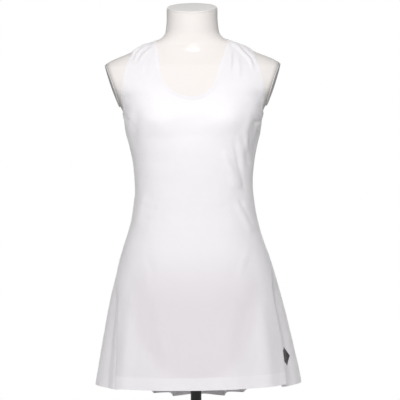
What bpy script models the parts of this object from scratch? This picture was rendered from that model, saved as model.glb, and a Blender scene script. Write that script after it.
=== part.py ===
"""A sleeveless athletic dress on a limbless dress form with a short pole stand.

Metres, +Z up. The front faces -Y and the wearer's left is at +X.
The origin is the middle of the base's underside.
"""

import math
from collections import namedtuple

import bmesh
import bpy
from mathutils import Matrix, Vector
from mathutils.bvhtree import BVHTree

# Gaps and cloth walls
SEAM = 0.0003
BAND_SEAM = 0.00045
CLOTH = 0.0018
HEM_CLOTH = 0.0026
BAND_CLOTH = 0.0024
BAND_LIFT = 0.0004
CLOTH_LIFT = 0.0018

# Heights above the floor
FRONT_HEM = 0.200
HEM_RISE = 0.004
HEM_DEPTH = 0.028
SIDE_HEM = 0.197
BACK_HEM = 0.139
HEM_DIP = 1.4
SKIRT_SEAM = 0.500
YOKE_BASE = 0.800

# Bands
NECK_BAND_WIDTH = 0.0085
ARM_BAND_WIDTH = 0.0075

# Stand
BASE_RADIUS = 0.150
BASE_THICK = 0.012
BASE_BEVEL = 0.003
COLLAR_RADIUS = 0.024
COLLAR_HEIGHT = 0.022
POLE_RADIUS = 0.0125
SOCKET_RADIUS = 0.034
SOCKET_HEIGHT = 0.014
ROUND_SIDES = 40

# Dress form
FORM_BOTTOM = 0.312
FORM_TOP = 1.110
FORM_SIDES = 40
NECK_CUT = Vector((0.0, 0.004, 1.0715))
NECK_CUT_TILT = math.radians(17.7)
ARM_CUT_TOP = Vector((0.2025, 0.0, 0.941))
ARM_CUT_FOOT = Vector((0.1745, 0.0, 0.857))
ARM_CUT_YAW = math.radians(4.0)
CUTS_ABOVE = 0.799
CAP_THICK = 0.003
CAP_INSET = 0.0015
CAP_DOME = 0.002

# How many rings the form has up to each height
RingRun = namedtuple("RingRun", "top rings")
FORM_RING_RUNS = [
    RingRun(0.336, 3),
    RingRun(0.800, 14),
    RingRun(0.940, 9),
    RingRun(1.030, 13),
    RingRun(1.110, 3),
]

Section = namedtuple("Section", "height side front back square lean drift")

# Half width, depth in front of and behind the middle plane, squareness, and the middle's shift
FORM_SECTIONS = [
    Section(0.312, 0.072, 0.050, 0.066, 2.2, 0.0, 0.0),
    Section(0.320, 0.108, 0.076, 0.092, 2.2, 0.0, 0.0),
    Section(0.336, 0.134, 0.092, 0.108, 2.2, 0.0, 0.0),
    Section(0.370, 0.158, 0.102, 0.120, 2.3, 0.0, 0.0),
    Section(0.410, 0.168, 0.106, 0.126, 2.3, 0.0, 0.0),
    Section(0.456, 0.170, 0.107, 0.127, 2.3, 0.0, 0.0),
    Section(0.520, 0.157, 0.103, 0.115, 2.3, 0.0, 0.0),
    Section(0.580, 0.139, 0.095, 0.098, 2.3, 0.0, 0.0),
    Section(0.656, 0.127, 0.088, 0.084, 2.3, 0.0, 0.0),
    Section(0.707, 0.132, 0.090, 0.086, 2.3, 0.0, 0.0),
    Section(0.745, 0.140, 0.095, 0.090, 2.4, 0.0, 0.0),
    Section(0.782, 0.149, 0.099, 0.094, 2.4, 0.0, 0.0),
    Section(0.806, 0.156, 0.101, 0.097, 2.4, 0.0, 0.0),
    Section(0.838, 0.167, 0.102, 0.100, 2.4, 0.0, 0.0),
    Section(0.857, 0.182, 0.100, 0.101, 2.4, 0.0, 0.0),
    Section(0.880, 0.211, 0.095, 0.101, 2.4, 0.0, 0.0),
    Section(0.905, 0.227, 0.087, 0.098, 2.4, 0.0, 0.0),
    Section(0.930, 0.221, 0.078, 0.091, 2.3, 0.0, 0.0),
    Section(0.941, 0.205, 0.073, 0.087, 2.3, 0.001, 0.0),
    Section(0.951, 0.188, 0.069, 0.083, 2.2, 0.002, 0.0),
    Section(0.969, 0.145, 0.063, 0.076, 2.1, 0.003, 0.0),
    Section(0.979, 0.128, 0.061, 0.072, 2.0, 0.003, 0.0),
    Section(0.988, 0.106, 0.060, 0.069, 2.0, 0.004, 0.0),
    Section(0.997, 0.082, 0.0595, 0.066, 2.0, 0.004, 0.0),
    Section(1.007, 0.068, 0.059, 0.063, 2.0, 0.004, 0.0),
    Section(1.018, 0.0625, 0.059, 0.061, 2.0, 0.004, 0.0),
    Section(1.050, 0.0595, 0.0585, 0.0590, 2.0, 0.004, 0.0),
    Section(1.110, 0.0600, 0.0590, 0.0590, 2.0, 0.004, 0.0),
]

# The dress below the armholes; above them it lies on the form
DRESS_SECTIONS = [
    Section(0.130, 0.2530, 0.180, 0.206, 2.3, 0.0, 0.0060),
    Section(0.200, 0.2400, 0.168, 0.192, 2.3, 0.0, 0.0060),
    Section(0.295, 0.2215, 0.152, 0.174, 2.3, 0.0, 0.0045),
    Section(0.389, 0.2015, 0.136, 0.157, 2.3, 0.0, 0.0025),
    Section(0.464, 0.1820, 0.122, 0.142, 2.3, 0.0, 0.0010),
    Section(0.520, 0.1640, 0.113, 0.127, 2.3, 0.0, 0.0),
    Section(0.5575, 0.1520, 0.107, 0.116, 2.3, 0.0, 0.0),
    Section(0.600, 0.1425, 0.101, 0.105, 2.3, 0.0, 0.0),
    Section(0.656, 0.1370, 0.097, 0.094, 2.3, 0.0, 0.0),
    Section(0.707, 0.1405, 0.101, 0.093, 2.3, 0.0, 0.0),
    Section(0.745, 0.1475, 0.107, 0.096, 2.4, 0.0, 0.0),
    Section(0.782, 0.1575, 0.112, 0.099, 2.4, 0.0, 0.0),
    Section(0.806, 0.1640, 0.114, 0.102, 2.4, 0.0, 0.0),
    Section(0.830, 0.1690, 0.111, 0.105, 2.4, 0.0, 0.0),
]
DRESS_ON_FORM = 0.850
CHEST_LOOSE = 0.0025
CHEST_TOP = 0.960

# Cups: the middle of each one, how far it spreads, and how far it stands out
CUP_SIDE = 0.088
CUP_HEIGHT = 0.806
CUP_WIDE = 0.044
CUP_TALL = 0.042
FORM_CUP = 0.017
DRESS_CUP = 0.012

# Where the front's side edges run, in degrees from the front middle
SideFold = namedtuple("SideFold", "height left right")
SIDE_FOLDS = [
    SideFold(0.200, 47.5, 54.0),
    SideFold(0.295, 53.0, 58.0),
    SideFold(0.389, 60.0, 60.5),
    SideFold(0.430, 68.0, 65.0),
    SideFold(0.470, 80.0, 74.0),
    SideFold(0.505, 90.0, 90.0),
    SideFold(0.900, 90.0, 90.0),
]

# The turned-back edge at each side fold: how far along the ring and how far inwards
FoldStep = namedtuple("FoldStep", "along inward")
FOLD_STEPS = [
    FoldStep(0.0015, 0.0030),
    FoldStep(0.0022, 0.0085),
    FoldStep(0.0010, 0.0150),
]
FOLD_GROWTH = 0.130
FOLD_SPREAD = 0.009
FOLD_SPREAD_ANGLE = math.radians(5.0)

# Openings, by points seen from the front or the back, to be laid on the dress
EdgePoint = namedtuple("EdgePoint", "across height")
NECK_FRONT_RIGHT = [
    EdgePoint(-0.001, 0.8575),
    EdgePoint(0.022, 0.8630),
    EdgePoint(0.044, 0.8800),
    EdgePoint(0.0560, 0.9080),
    EdgePoint(0.0625, 0.9330),
    EdgePoint(0.0735, 0.9620),
    EdgePoint(0.0800, 0.9985),
]
NECK_FRONT_LEFT = [
    EdgePoint(-0.001, 0.8575),
    EdgePoint(-0.030, 0.8640),
    EdgePoint(-0.055, 0.8810),
    EdgePoint(-0.0690, 0.9060),
    EdgePoint(-0.0745, 0.9340),
    EdgePoint(-0.0780, 0.9640),
    EdgePoint(-0.0810, 0.9985),
]
NECK_BACK = [
    EdgePoint(0.0, 0.9350),
    EdgePoint(0.033, 0.9410),
    EdgePoint(0.061, 0.9600),
    EdgePoint(0.0760, 0.9820),
    EdgePoint(0.0805, 0.9985),
]
ARMHOLE_FRONT = [
    EdgePoint(0.1675, 0.8190),
    EdgePoint(0.1640, 0.8300),
    EdgePoint(0.1650, 0.8520),
    EdgePoint(0.1640, 0.8780),
    EdgePoint(0.1590, 0.9060),
    EdgePoint(0.1510, 0.9370),
    EdgePoint(0.1420, 0.9600),
    EdgePoint(0.1370, 0.9745),
]
ARMHOLE_BACK = [
    EdgePoint(0.1675, 0.8190),
    EdgePoint(0.1560, 0.8280),
    EdgePoint(0.1400, 0.8480),
    EdgePoint(0.1260, 0.8760),
    EdgePoint(0.1180, 0.9080),
    EdgePoint(0.1210, 0.9400),
    EdgePoint(0.1310, 0.9620),
    EdgePoint(0.1370, 0.9745),
]
YOKE_ROWS = 18
CENTRE_ROWS_FRONT = 3
CENTRE_ROWS_BACK = 5
CREST_GATHER = 1.3
YOKE_PUSH = 0.025
SEAM_ROWS = 1
HALF_COLUMNS = 8
BODICE_ROWS = 10
SKIRT_ROWS = 9
BAND_COLUMNS = 2

# Broad soft folds in the front, each along a line seen from the front
SoftFold = namedtuple("SoftFold", "from_x from_z to_x to_z wide deep")
SOFT_FOLDS = [
    SoftFold(0.070, 0.735, 0.104, 0.640, 0.012, 0.0030),
    SoftFold(0.106, 0.620, 0.140, 0.545, 0.009, 0.0030),
    SoftFold(-0.112, 0.640, -0.136, 0.560, 0.010, 0.0025),
    SoftFold(-0.150, 0.400, -0.165, 0.200, 0.022, 0.0050),
    SoftFold(0.150, 0.400, 0.160, 0.200, 0.022, 0.0050),
    SoftFold(-0.055, 0.330, -0.080, 0.200, 0.026, 0.0035),
    SoftFold(0.070, 0.350, 0.085, 0.200, 0.026, 0.0035),
]

# Knife pleats of the back skirt, from the side round to the middle of the back
PLEATS_FROM = math.radians(103.0)
PLEAT_TOP_DEPTH = 0.0015
PLEAT_HEM_DEPTH = 0.031
PLEAT_UNEVEN = [0.72, 0.96, 1.08, 0.90, 1.05, 0.98]
PleatStep = namedtuple("PleatStep", "along inward")
PLEAT_PROFILE = [
    PleatStep(0.00, 1.00),
    PleatStep(0.32, 0.60),
    PleatStep(0.62, 0.22),
    PleatStep(0.86, 0.00),
    PleatStep(0.97, 0.12),
    PleatStep(1.01, 0.55),
]
SIDE_COLUMNS = 6
PLEAT_ROWS = 9

# Base colour, roughness and metallic value of each material
Finish = namedtuple("Finish", "colour roughness metallic")
FINISHES = {
    "white_jersey": Finish((0.86, 0.85, 0.87), 0.85, 0.0),
    "white_band": Finish((0.90, 0.90, 0.92), 0.80, 0.0),
    "form_shell": Finish((0.84, 0.80, 0.77), 0.25, 0.0),
    "form_cap": Finish((0.66, 0.64, 0.63), 0.40, 0.0),
    "black_stand": Finish((0.02, 0.02, 0.02), 0.45, 0.0),
}


def clear_scene():
    for thing in list(bpy.data.objects):
        bpy.data.objects.remove(thing, do_unlink=True)


def material(name):
    found = bpy.data.materials.get(name)
    if found:
        return found
    finish = FINISHES[name]
    made = bpy.data.materials.new(name)
    made.use_nodes = True
    shader = made.node_tree.nodes["Principled BSDF"]
    shader.inputs["Base Color"].default_value = (*finish.colour, 1.0)
    shader.inputs["Roughness"].default_value = finish.roughness
    shader.inputs["Metallic"].default_value = finish.metallic
    made.diffuse_color = (*finish.colour, 1.0)
    return made


def add_object(name, mesh, finish, sharp=math.radians(40.0)):
    mesh.materials.append(material(finish))
    mesh.shade_smooth()
    mesh.set_sharp_from_angle(angle=sharp)
    made = bpy.data.objects.new(name, mesh)
    bpy.context.scene.collection.objects.link(made)
    return made


# Interpolation


def steady_slopes(xs, ys):
    """Slopes of a curve through the points that never overshoots them."""
    runs = [(ys[i + 1] - ys[i]) / (xs[i + 1] - xs[i]) for i in range(len(xs) - 1)]
    slopes = [runs[0]]
    for before, after in zip(runs, runs[1:]):
        if before * after <= 0.0:
            slopes.append(0.0)
        else:
            slopes.append(2.0 * before * after / (before + after))
    slopes.append(runs[-1])
    return slopes


class Curve:
    """A smooth column of a table against its first column."""

    def __init__(self, rows, column):
        self.xs = [row[0] for row in rows]
        self.ys = [getattr(row, column) for row in rows]
        self.slopes = steady_slopes(self.xs, self.ys)

    def at(self, x):
        x = min(max(x, self.xs[0]), self.xs[-1])
        i = 0
        while i < len(self.xs) - 2 and x > self.xs[i + 1]:
            i += 1
        span = self.xs[i + 1] - self.xs[i]
        t = (x - self.xs[i]) / span
        rise = t * t * (3.0 - 2.0 * t)
        start = t * (1.0 - t) ** 2
        end = t * t * (t - 1.0)
        value = self.ys[i] + (self.ys[i + 1] - self.ys[i]) * rise
        return value + span * (self.slopes[i] * start + self.slopes[i + 1] * end)


def ease(t):
    t = min(max(t, 0.0), 1.0)
    return t * t * (3.0 - 2.0 * t)


def blend(a, b, t):
    return a + (b - a) * t


class Torso:
    """A stack of sections, read at any height and angle; angle 0 is the front middle."""

    def __init__(self, rows, cup):
        columns = ("side", "front", "back", "square", "lean", "drift")
        self.curves = {name: Curve(rows, name) for name in columns}
        self.cup = cup

    def point(self, height, angle):
        side, front, back, square, lean, drift = (
            self.curves[name].at(height)
            for name in ("side", "front", "back", "square", "lean", "drift")
        )
        sine = math.sin(angle)
        cosine = math.cos(angle)
        power = 2.0 / square
        depth = front if cosine > 0.0 else back
        x = side * math.copysign(abs(sine) ** power, sine)
        y = lean - depth * math.copysign(abs(cosine) ** power, cosine)
        if cosine > 0.0:
            y -= self.cup * cup_shape(x, height)
        return Vector((x + drift, y, height))

    def outward(self, height, angle):
        """The horizontal direction away from the section."""
        step = math.radians(1.0)
        along = self.point(height, angle + step) - self.point(height, angle - step)
        return Vector((along.y, -along.x, 0.0)).normalized()


def cup_shape(x, height):
    across = (abs(x) - CUP_SIDE) / CUP_WIDE
    up = (height - CUP_HEIGHT) / CUP_TALL
    return math.exp(-across * across - up * up)


def dress_rows():
    """The dress's sections, carried on over the form's shoulders."""
    upper = []
    for row in FORM_SECTIONS:
        if row.height > DRESS_ON_FORM:
            loose = CHEST_LOOSE * ease((CHEST_TOP - row.height) / (CHEST_TOP - DRESS_ON_FORM))
            upper.append(
                row._replace(
                    side=row.side + CLOTH_LIFT,
                    front=row.front + CLOTH_LIFT + loose,
                    back=row.back + CLOTH_LIFT + loose,
                )
            )
    return DRESS_SECTIONS + upper


FORM = Torso(FORM_SECTIONS, FORM_CUP)
DRESS = Torso(dress_rows(), DRESS_CUP)


def surface_tree(point_at, low, high, rows, columns):
    """A fine skin for laying cloth on."""
    points = []
    for i in range(rows + 1):
        height = blend(low, high, i / rows)
        for j in range(columns):
            points.append(point_at(height, math.tau * j / columns))
    faces = []
    for i in range(rows):
        for j in range(columns):
            k = (j + 1) % columns
            a, b = i * columns + j, i * columns + k
            faces.append((a, b, b + columns, a + columns))
    return BVHTree.FromPolygons(points, faces)


def off_form(point, gap):
    """The point, or its nearest place that is clear of the form by the gap."""
    spot, normal, _, _ = FORM_SKIN.find_nearest(point)
    if (point - spot).dot(normal) < gap:
        return spot + normal * gap
    return point


def dress_point(height, angle):
    point = DRESS.point(height, angle)
    if height > FORM_BOTTOM:
        point = off_form(point, CLOTH_LIFT)
    return point


FORM_SKIN = surface_tree(FORM.point, FORM_BOTTOM, FORM_TOP, 160, 144)
DRESS_SKIN = surface_tree(dress_point, 0.74, 1.012, 90, 144)


def on_dress(point):
    spot, normal, _, _ = DRESS_SKIN.find_nearest(point)
    return spot, normal


def off_body(point):
    """The way that cloth at this point faces."""
    if point.z > YOKE_BASE - 0.02:
        return on_dress(point)[1]
    return Vector((point.x, point.y, 0.0)).normalized()


# Cloth walls


class Sheet:
    """The middle surface of a piece of cloth, built up from grids that share points."""

    def __init__(self):
        self.points = []
        self.set_normals = {}
        self.thick = {}
        self.faces = []
        self.known = {}

    def index(self, point):
        key = tuple(round(c * 1e6) for c in point)
        if key not in self.known:
            self.known[key] = len(self.points)
            self.points.append(Vector(point))
        return self.known[key]

    def add_grid(self, rows, closed=False, toward=None):
        """Joins rows of points; its faces look toward the given way, or else off the body."""
        table = [[self.index(p) for p in row] for row in rows]
        if closed:
            table.append(table[0])
        faces = []
        for lower, upper in zip(table, table[1:]):
            for j in range(len(lower) - 1):
                corners = [lower[j], lower[j + 1], upper[j + 1], upper[j]]
                face = [c for i, c in enumerate(corners) if c != corners[i - 1]]
                if len(face) > 2:
                    faces.append(face)
        agreed = 0.0
        for face in faces:
            middle = sum((self.points[c] for c in face), Vector((0.0, 0.0, 0.0))) / len(face)
            agreed += self.tilt(face).dot(toward if toward else off_body(middle))
        self.faces += faces if agreed > 0.0 else [face[::-1] for face in faces]

    def tilt(self, face):
        """The face's normal, as long as twice its area."""
        first, second = self.points[face[0]], self.points[face[1]]
        third, last = self.points[face[2]], self.points[face[-1]]
        if len(face) == 3:
            return (second - first).cross(third - first)
        return (third - first).cross(last - second)

    def set_normal(self, point, normal):
        self.set_normals[self.index(point)] = normal

    def normals(self):
        sums = [Vector((0.0, 0.0, 0.0)) for _ in self.points]
        for face in self.faces:
            tilt = self.tilt(face)
            for corner in face:
                sums[corner] += tilt
        normals = [total.normalized() for total in sums]
        for corner, normal in self.set_normals.items():
            normals[corner] = normal
        return normals

    def solid(self, name, thick, finish, thick_at=None):
        """A closed wall, half its thickness to each side of the middle surface."""
        normals = self.normals()
        count = len(self.points)
        halves = [(thick_at(p) if thick_at else thick) / 2.0 for p in self.points]
        outer = [p + n * h for p, n, h in zip(self.points, normals, halves)]
        inner = [p - n * thick / 2.0 for p, n in zip(self.points, normals)]
        faces = [list(face) for face in self.faces]
        faces += [[c + count for c in reversed(face)] for face in self.faces]
        edges = set()
        for face in self.faces:
            for i, corner in enumerate(face):
                edges.add((face[i - 1], corner))
        for start, end in sorted(edges):
            if (end, start) not in edges:
                faces.append([end, start, start + count, end + count])
        mesh = bpy.data.meshes.new(name)
        mesh.from_pydata([tuple(p) for p in outer + inner], [], faces)
        mesh.validate()
        return add_object(name, mesh, finish)


# Opening edges


def smooth_path(controls, count):
    """Points on a smooth curve through the controls, closer together towards its end."""
    ends = [controls[0] * 2.0 - controls[1], controls[-1] * 2.0 - controls[-2]]
    knots = [ends[0]] + controls + [ends[1]]
    fine = []
    for i in range(1, len(knots) - 2):
        p0, p1, p2, p3 = knots[i - 1 : i + 3]
        for step in range(16):
            t = step / 16.0
            fine.append(
                0.5
                * (
                    p1 * 2.0
                    + (p2 - p0) * t
                    + (p0 * 2.0 - p1 * 5.0 + p2 * 4.0 - p3) * t**2
                    + (p1 * 3.0 - p0 - p2 * 3.0 + p3) * t**3
                )
            )
    fine.append(controls[-1])
    lengths = [0.0]
    for a, b in zip(fine, fine[1:]):
        lengths.append(lengths[-1] + (b - a).length)
    path = []
    i = 0
    for k in range(count + 1):
        target = lengths[-1] * (1.0 - (1.0 - k / count) ** CREST_GATHER)
        while i < len(lengths) - 2 and lengths[i + 1] < target:
            i += 1
        span = lengths[i + 1] - lengths[i]
        path.append(fine[i].lerp(fine[i + 1], (target - lengths[i]) / span))
    return path


def on_section(edge, facing):
    """A point given as seen from the front (-1) or the back (+1), laid on the dress."""
    side = DRESS.curves["side"].at(edge.height)
    square = DRESS.curves["square"].at(edge.height)
    depth = DRESS.curves["front" if facing < 0 else "back"].at(edge.height)
    inside = max(0.0, 1.0 - (abs(edge.across) / side) ** square)
    y = DRESS.curves["lean"].at(edge.height) + facing * depth * inside ** (1.0 / square)
    if facing < 0:
        y -= DRESS.cup * cup_shape(edge.across, edge.height)
    return on_dress(Vector((edge.across, y, edge.height)))[0]


def edge_path(edges, facing, count, mirrored=1.0):
    """The first and last points lie on the middle or side planes, the rest in front or behind."""
    last = len(edges) - 1
    controls = []
    for i, edge in enumerate(edges):
        placed = edge._replace(across=edge.across * mirrored)
        at_crest = i == last
        if at_crest or (i == 0 and abs(edge.across) > 0.1):
            middle = Vector((placed.across, DRESS.curves["lean"].at(edge.height), edge.height))
            controls.append(on_dress(middle)[0])
        else:
            controls.append(on_section(placed, facing))
    return smooth_path(controls, count)


def band_rows(loop, inside, widths):
    """For each point of a closed edge, points on the dress at the widths away from the opening."""
    rows = []
    count = len(loop)
    for i, point in enumerate(loop):
        along = (loop[(i + 1) % count] - loop[i - 1]).normalized()
        spot, normal = on_dress(point)
        away = along.cross(normal).normalized()
        if away.dot(inside - spot) > 0.0:
            away.negate()
        rows.append([on_dress(spot + away * width)[0] for width in widths])
    return rows


class Opening:
    """An edge loop, its band's points and the sewn edge of the panels next to it."""

    def __init__(self, quarters, inside, width):
        self.loop = []
        self.starts = []
        for path in quarters:
            self.starts.append(len(self.loop))
            self.loop += path[:-1]
        widths = [width * i / BAND_COLUMNS for i in range(BAND_COLUMNS + 1)]
        self.band = band_rows(self.loop, inside, widths)
        self.edge = [row[0] for row in band_rows(self.loop, inside, [width + BAND_SEAM])]

    def run(self, start, end):
        """Sewn-edge points from one place in the loop to another."""
        step = 1 if end > start else -1
        count = len(self.loop)
        return [self.edge[i % count] for i in range(start, end + step, step)]


def neck_opening():
    front = YOKE_ROWS - CENTRE_ROWS_FRONT
    back = YOKE_ROWS - CENTRE_ROWS_BACK
    front_right = edge_path(NECK_FRONT_RIGHT, -1, front)
    front_left = edge_path(NECK_FRONT_LEFT, -1, front)
    back_right = edge_path(NECK_BACK, 1, back)
    back_left = edge_path(NECK_BACK, 1, back, -1.0)
    back_right[-1] = front_right[-1]
    back_left[-1] = front_left[-1]
    back_left[0] = back_right[0]
    front_left[0] = front_right[0]
    quarters = [front_right, back_right[::-1], back_left, front_left[::-1]]
    return Opening(quarters, Vector((0.0, 0.0, 0.975)), NECK_BAND_WIDTH)


def arm_opening(side):
    rows = YOKE_ROWS - SEAM_ROWS
    front = edge_path(ARMHOLE_FRONT, -1, rows, side)
    back = edge_path(ARMHOLE_BACK, 1, rows, side)
    back[0] = front[0]
    back[-1] = front[-1]
    inside = Vector((side * 0.23, 0.0, 0.90))
    return Opening([front, back[::-1]], inside, ARM_BAND_WIDTH)


# Panels


def side_angle(height, side):
    name = "left" if side < 0 else "right"
    return math.radians(FOLD_CURVES[name].at(height))


FOLD_CURVES = {name: Curve(SIDE_FOLDS, name) for name in ("left", "right")}


def soft_fold(x, z):
    """How far the broad folds push the front outwards."""
    total = 0.0
    for fold in SOFT_FOLDS:
        start = Vector((fold.from_x, fold.from_z))
        line = Vector((fold.to_x, fold.to_z)) - start
        t = (Vector((x, z)) - start).dot(line) / line.length_squared
        near = start + line * min(max(t, 0.0), 1.0)
        gone = (Vector((x, z)) - near).length / fold.wide
        fade = ease(0.25 + t) if fold.to_z <= FRONT_HEM else ease(4.0 * t) * ease(4.0 - 4.0 * t)
        total += fold.deep * fade * math.exp(-gone * gone)
    return total


def front_point(height, share):
    """share runs from -1 at the left edge to 1 at the right edge; the hem rises to the right."""
    if height < SKIRT_SEAM:
        height += HEM_RISE * max(share, 0.0) * (SKIRT_SEAM - height) / (SKIRT_SEAM - FRONT_HEM)
    angle = side_angle(height, share) * share
    point = dress_point(height, angle)
    return point + DRESS.outward(height, angle) * soft_fold(point.x, point.z)


def seam_set_back(row_end, neighbour):
    """An edge point moved half a seam away from the edge."""
    return row_end + (neighbour - row_end).normalized() * (SEAM / 2.0)


def yoke_rows(centre, outer, opening_points, arm_points, seam_way):
    """Rows of a bodice block above YOKE_BASE, from the centre or neck edge to the arm edge."""
    inner_path = centre + opening_points
    outer_path = outer + arm_points
    rows = []
    for k, (inner, edge) in enumerate(zip(inner_path, outer_path)):
        row = []
        _, inner_normal = on_dress(inner)
        _, edge_normal = on_dress(edge)
        for j in range(HALF_COLUMNS + 1):
            t = j / HALF_COLUMNS
            if j in (0, HALF_COLUMNS):
                row.append(inner if j == 0 else edge)
                continue
            push = inner_normal.lerp(edge_normal, t).normalized() * YOKE_PUSH
            row.append(on_dress(inner.lerp(edge, t) + push)[0])
        rows.append(row)
    last = [p + seam_way * (SEAM / 2.0) for p in rows[-1]]
    rows[-1] = last
    return rows


def bodice_levels():
    return [blend(YOKE_BASE, SKIRT_SEAM, i / BODICE_ROWS) for i in range(BODICE_ROWS + 1)]


def skirt_levels():
    top_of_hem = FRONT_HEM + HEM_DEPTH
    upper = [blend(SKIRT_SEAM, top_of_hem, i / SKIRT_ROWS) for i in range(SKIRT_ROWS + 1)]
    return upper + [top_of_hem - 0.001, FRONT_HEM]


def fold_amount(height):
    return ease((SKIRT_SEAM - height) / FOLD_GROWTH)


def past_edge(height, side):
    """The way along the ring past the front's side edge, towards the back."""
    out = DRESS.outward(height, side_angle(height, side) * side)
    return Vector((-out.y, out.x, 0.0)) * side


def fold_point(height, side, number):
    """A point of the turned-back edge, which opens out flat where the fold begins."""
    step = FOLD_STEPS[number]
    amount = fold_amount(height)
    flat = FOLD_SPREAD * (number + 1) / len(FOLD_STEPS)
    out = DRESS.outward(height, side_angle(height, side) * side)
    along = blend(flat, step.along, amount)
    return front_point(height, side) + past_edge(height, side) * along - out * step.inward * amount


def build_front(neck, arms):
    sheet = Sheet()
    shares = [j / HALF_COLUMNS for j in range(-HALF_COLUMNS, HALF_COLUMNS + 1)]
    top_row = None
    grid = []
    for height in bodice_levels() + skirt_levels()[1:]:
        row = [front_point(height, share) for share in shares]
        row[0] = seam_set_back(row[0], row[1])
        row[-1] = seam_set_back(row[-1], row[-2])
        grid.append(row)
        if top_row is None:
            top_row = row
        if height >= SKIRT_SEAM:
            for end, side in ((0, -1.0), (-1, 1.0)):
                angle = side_angle(height, side) * side
                sheet.set_normal(row[end], DRESS.outward(height, angle))
    sheet.add_grid(grid)

    for side in (-1.0, 1.0):
        rows = []
        for height in skirt_levels():
            first = front_point(height, side)
            first = seam_set_back(first, front_point(height, side * shares[-2]))
            row = [first]
            row += [fold_point(height, side, number) for number in range(len(FOLD_STEPS))]
            rows.append(row)
        sheet.add_grid(rows, toward=past_edge(FRONT_HEM, side))

        half = top_row[HALF_COLUMNS:] if side > 0.0 else top_row[HALF_COLUMNS::-1]
        arm = arms[side]
        rows_up = YOKE_ROWS - SEAM_ROWS
        arm_edge = arm.run(0, rows_up)
        arm_edge[0] = seam_set_back(arm_edge[0], arm_edge[1])
        count = len(neck.loop)
        way = YOKE_ROWS - CENTRE_ROWS_FRONT
        neck_edge = neck.run(0, way) if side > 0.0 else neck.run(count, count - way)
        base = half[0]
        centre = [
            on_dress(base.lerp(neck_edge[0], k / CENTRE_ROWS_FRONT))[0]
            for k in range(1, CENTRE_ROWS_FRONT)
        ]
        rows = yoke_rows(
            [base] + centre,
            [half[-1]],
            neck_edge,
            arm_edge,
            Vector((0.0, -1.0, 0.0)),
        )
        rows[0] = half
        sheet.add_grid(rows)
        for row in rows[1:]:
            for point in row:
                sheet.set_normal(point, on_dress(point)[1])

    def wall(point):
        in_hem = point.z < FRONT_HEM + HEM_DEPTH - 0.0005 + HEM_RISE * max(point.x, 0.0) / 0.2
        return HEM_CLOTH if in_hem else CLOTH

    return sheet.solid("front_panel", CLOTH, "white_jersey", wall)


def build_back(neck, arms):
    sheet = Sheet()
    columns = HALF_COLUMNS * 2
    grid = []
    for height in bodice_levels():
        lowest = height == bodice_levels()[-1]
        level = height + (SEAM if lowest else 0.0)
        angles = [math.pi * (0.5 + j / columns) for j in range(columns + 1)]
        row = [dress_point(level, angle) for angle in angles]
        row[0] = seam_set_back(row[0], row[1])
        row[-1] = seam_set_back(row[-1], row[-2])
        grid.append(row)
        sheet.set_normal(row[0], DRESS.outward(level, angles[0]))
        sheet.set_normal(row[-1], DRESS.outward(level, angles[-1]))
    sheet.add_grid(grid)
    top_row = grid[0]

    middle = YOKE_ROWS - CENTRE_ROWS_FRONT + YOKE_ROWS - CENTRE_ROWS_BACK
    for side in (-1.0, 1.0):
        half = top_row[HALF_COLUMNS::-1] if side > 0.0 else top_row[HALF_COLUMNS:]
        arm = arms[side]
        rows_up = YOKE_ROWS - SEAM_ROWS
        count = len(arm.loop)
        arm_edge = arm.run(count, count - rows_up)
        arm_edge[0] = seam_set_back(arm_edge[0], arm_edge[1])
        way = YOKE_ROWS - CENTRE_ROWS_BACK
        neck_edge = neck.run(middle, middle - int(side) * way)
        base = half[0]
        centre = [
            on_dress(base.lerp(neck_edge[0], k / CENTRE_ROWS_BACK))[0]
            for k in range(1, CENTRE_ROWS_BACK)
        ]
        rows = yoke_rows(
            [base] + centre,
            [half[-1]],
            neck_edge,
            arm_edge,
            Vector((0.0, 1.0, 0.0)),
        )
        rows[0] = half
        sheet.add_grid(rows)
        for row in rows[1:]:
            for point in row:
                sheet.set_normal(point, on_dress(point)[1])
    return sheet.solid("back_bodice", CLOTH, "white_jersey")


def build_band(name, opening):
    sheet = Sheet()
    rows = []
    for row in opening.band:
        lifted = []
        for point in row:
            spot, normal = on_dress(point)
            lifted.append(spot + normal * BAND_LIFT)
        rows.append(lifted)
    sheet.add_grid(rows, closed=True)
    for row in rows:
        for point in row:
            sheet.set_normal(point, on_dress(point)[1])
    return sheet.solid(name, BAND_CLOTH, "white_band")


def pleat_columns():
    """Angles past the side, and the share of the pleat depth, from one side to the other."""
    pitch = (math.pi - PLEATS_FROM) / len(PLEAT_UNEVEN)
    half = []
    for i, uneven in enumerate(PLEAT_UNEVEN):
        for step in PLEAT_PROFILE:
            angle = PLEATS_FROM + pitch * (i + step.along)
            deep = uneven * step.inward
            if i == 0:
                deep *= step.along ** 0.5
            half.append((angle, deep))
    turned = [(math.tau - angle, deep) for angle, deep in reversed(half)]
    return half + [(math.pi, PLEAT_UNEVEN[-1])] + turned


def back_hem(angle):
    behind = 0.5 - 0.5 * math.cos(2.0 * (abs(angle - math.pi) - math.pi / 2.0))
    turned = 1.0 if abs(angle - math.pi) < math.pi / 2.0 else 0.0
    return SIDE_HEM - (SIDE_HEM - BACK_HEM) * behind**HEM_DIP * turned


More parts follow.
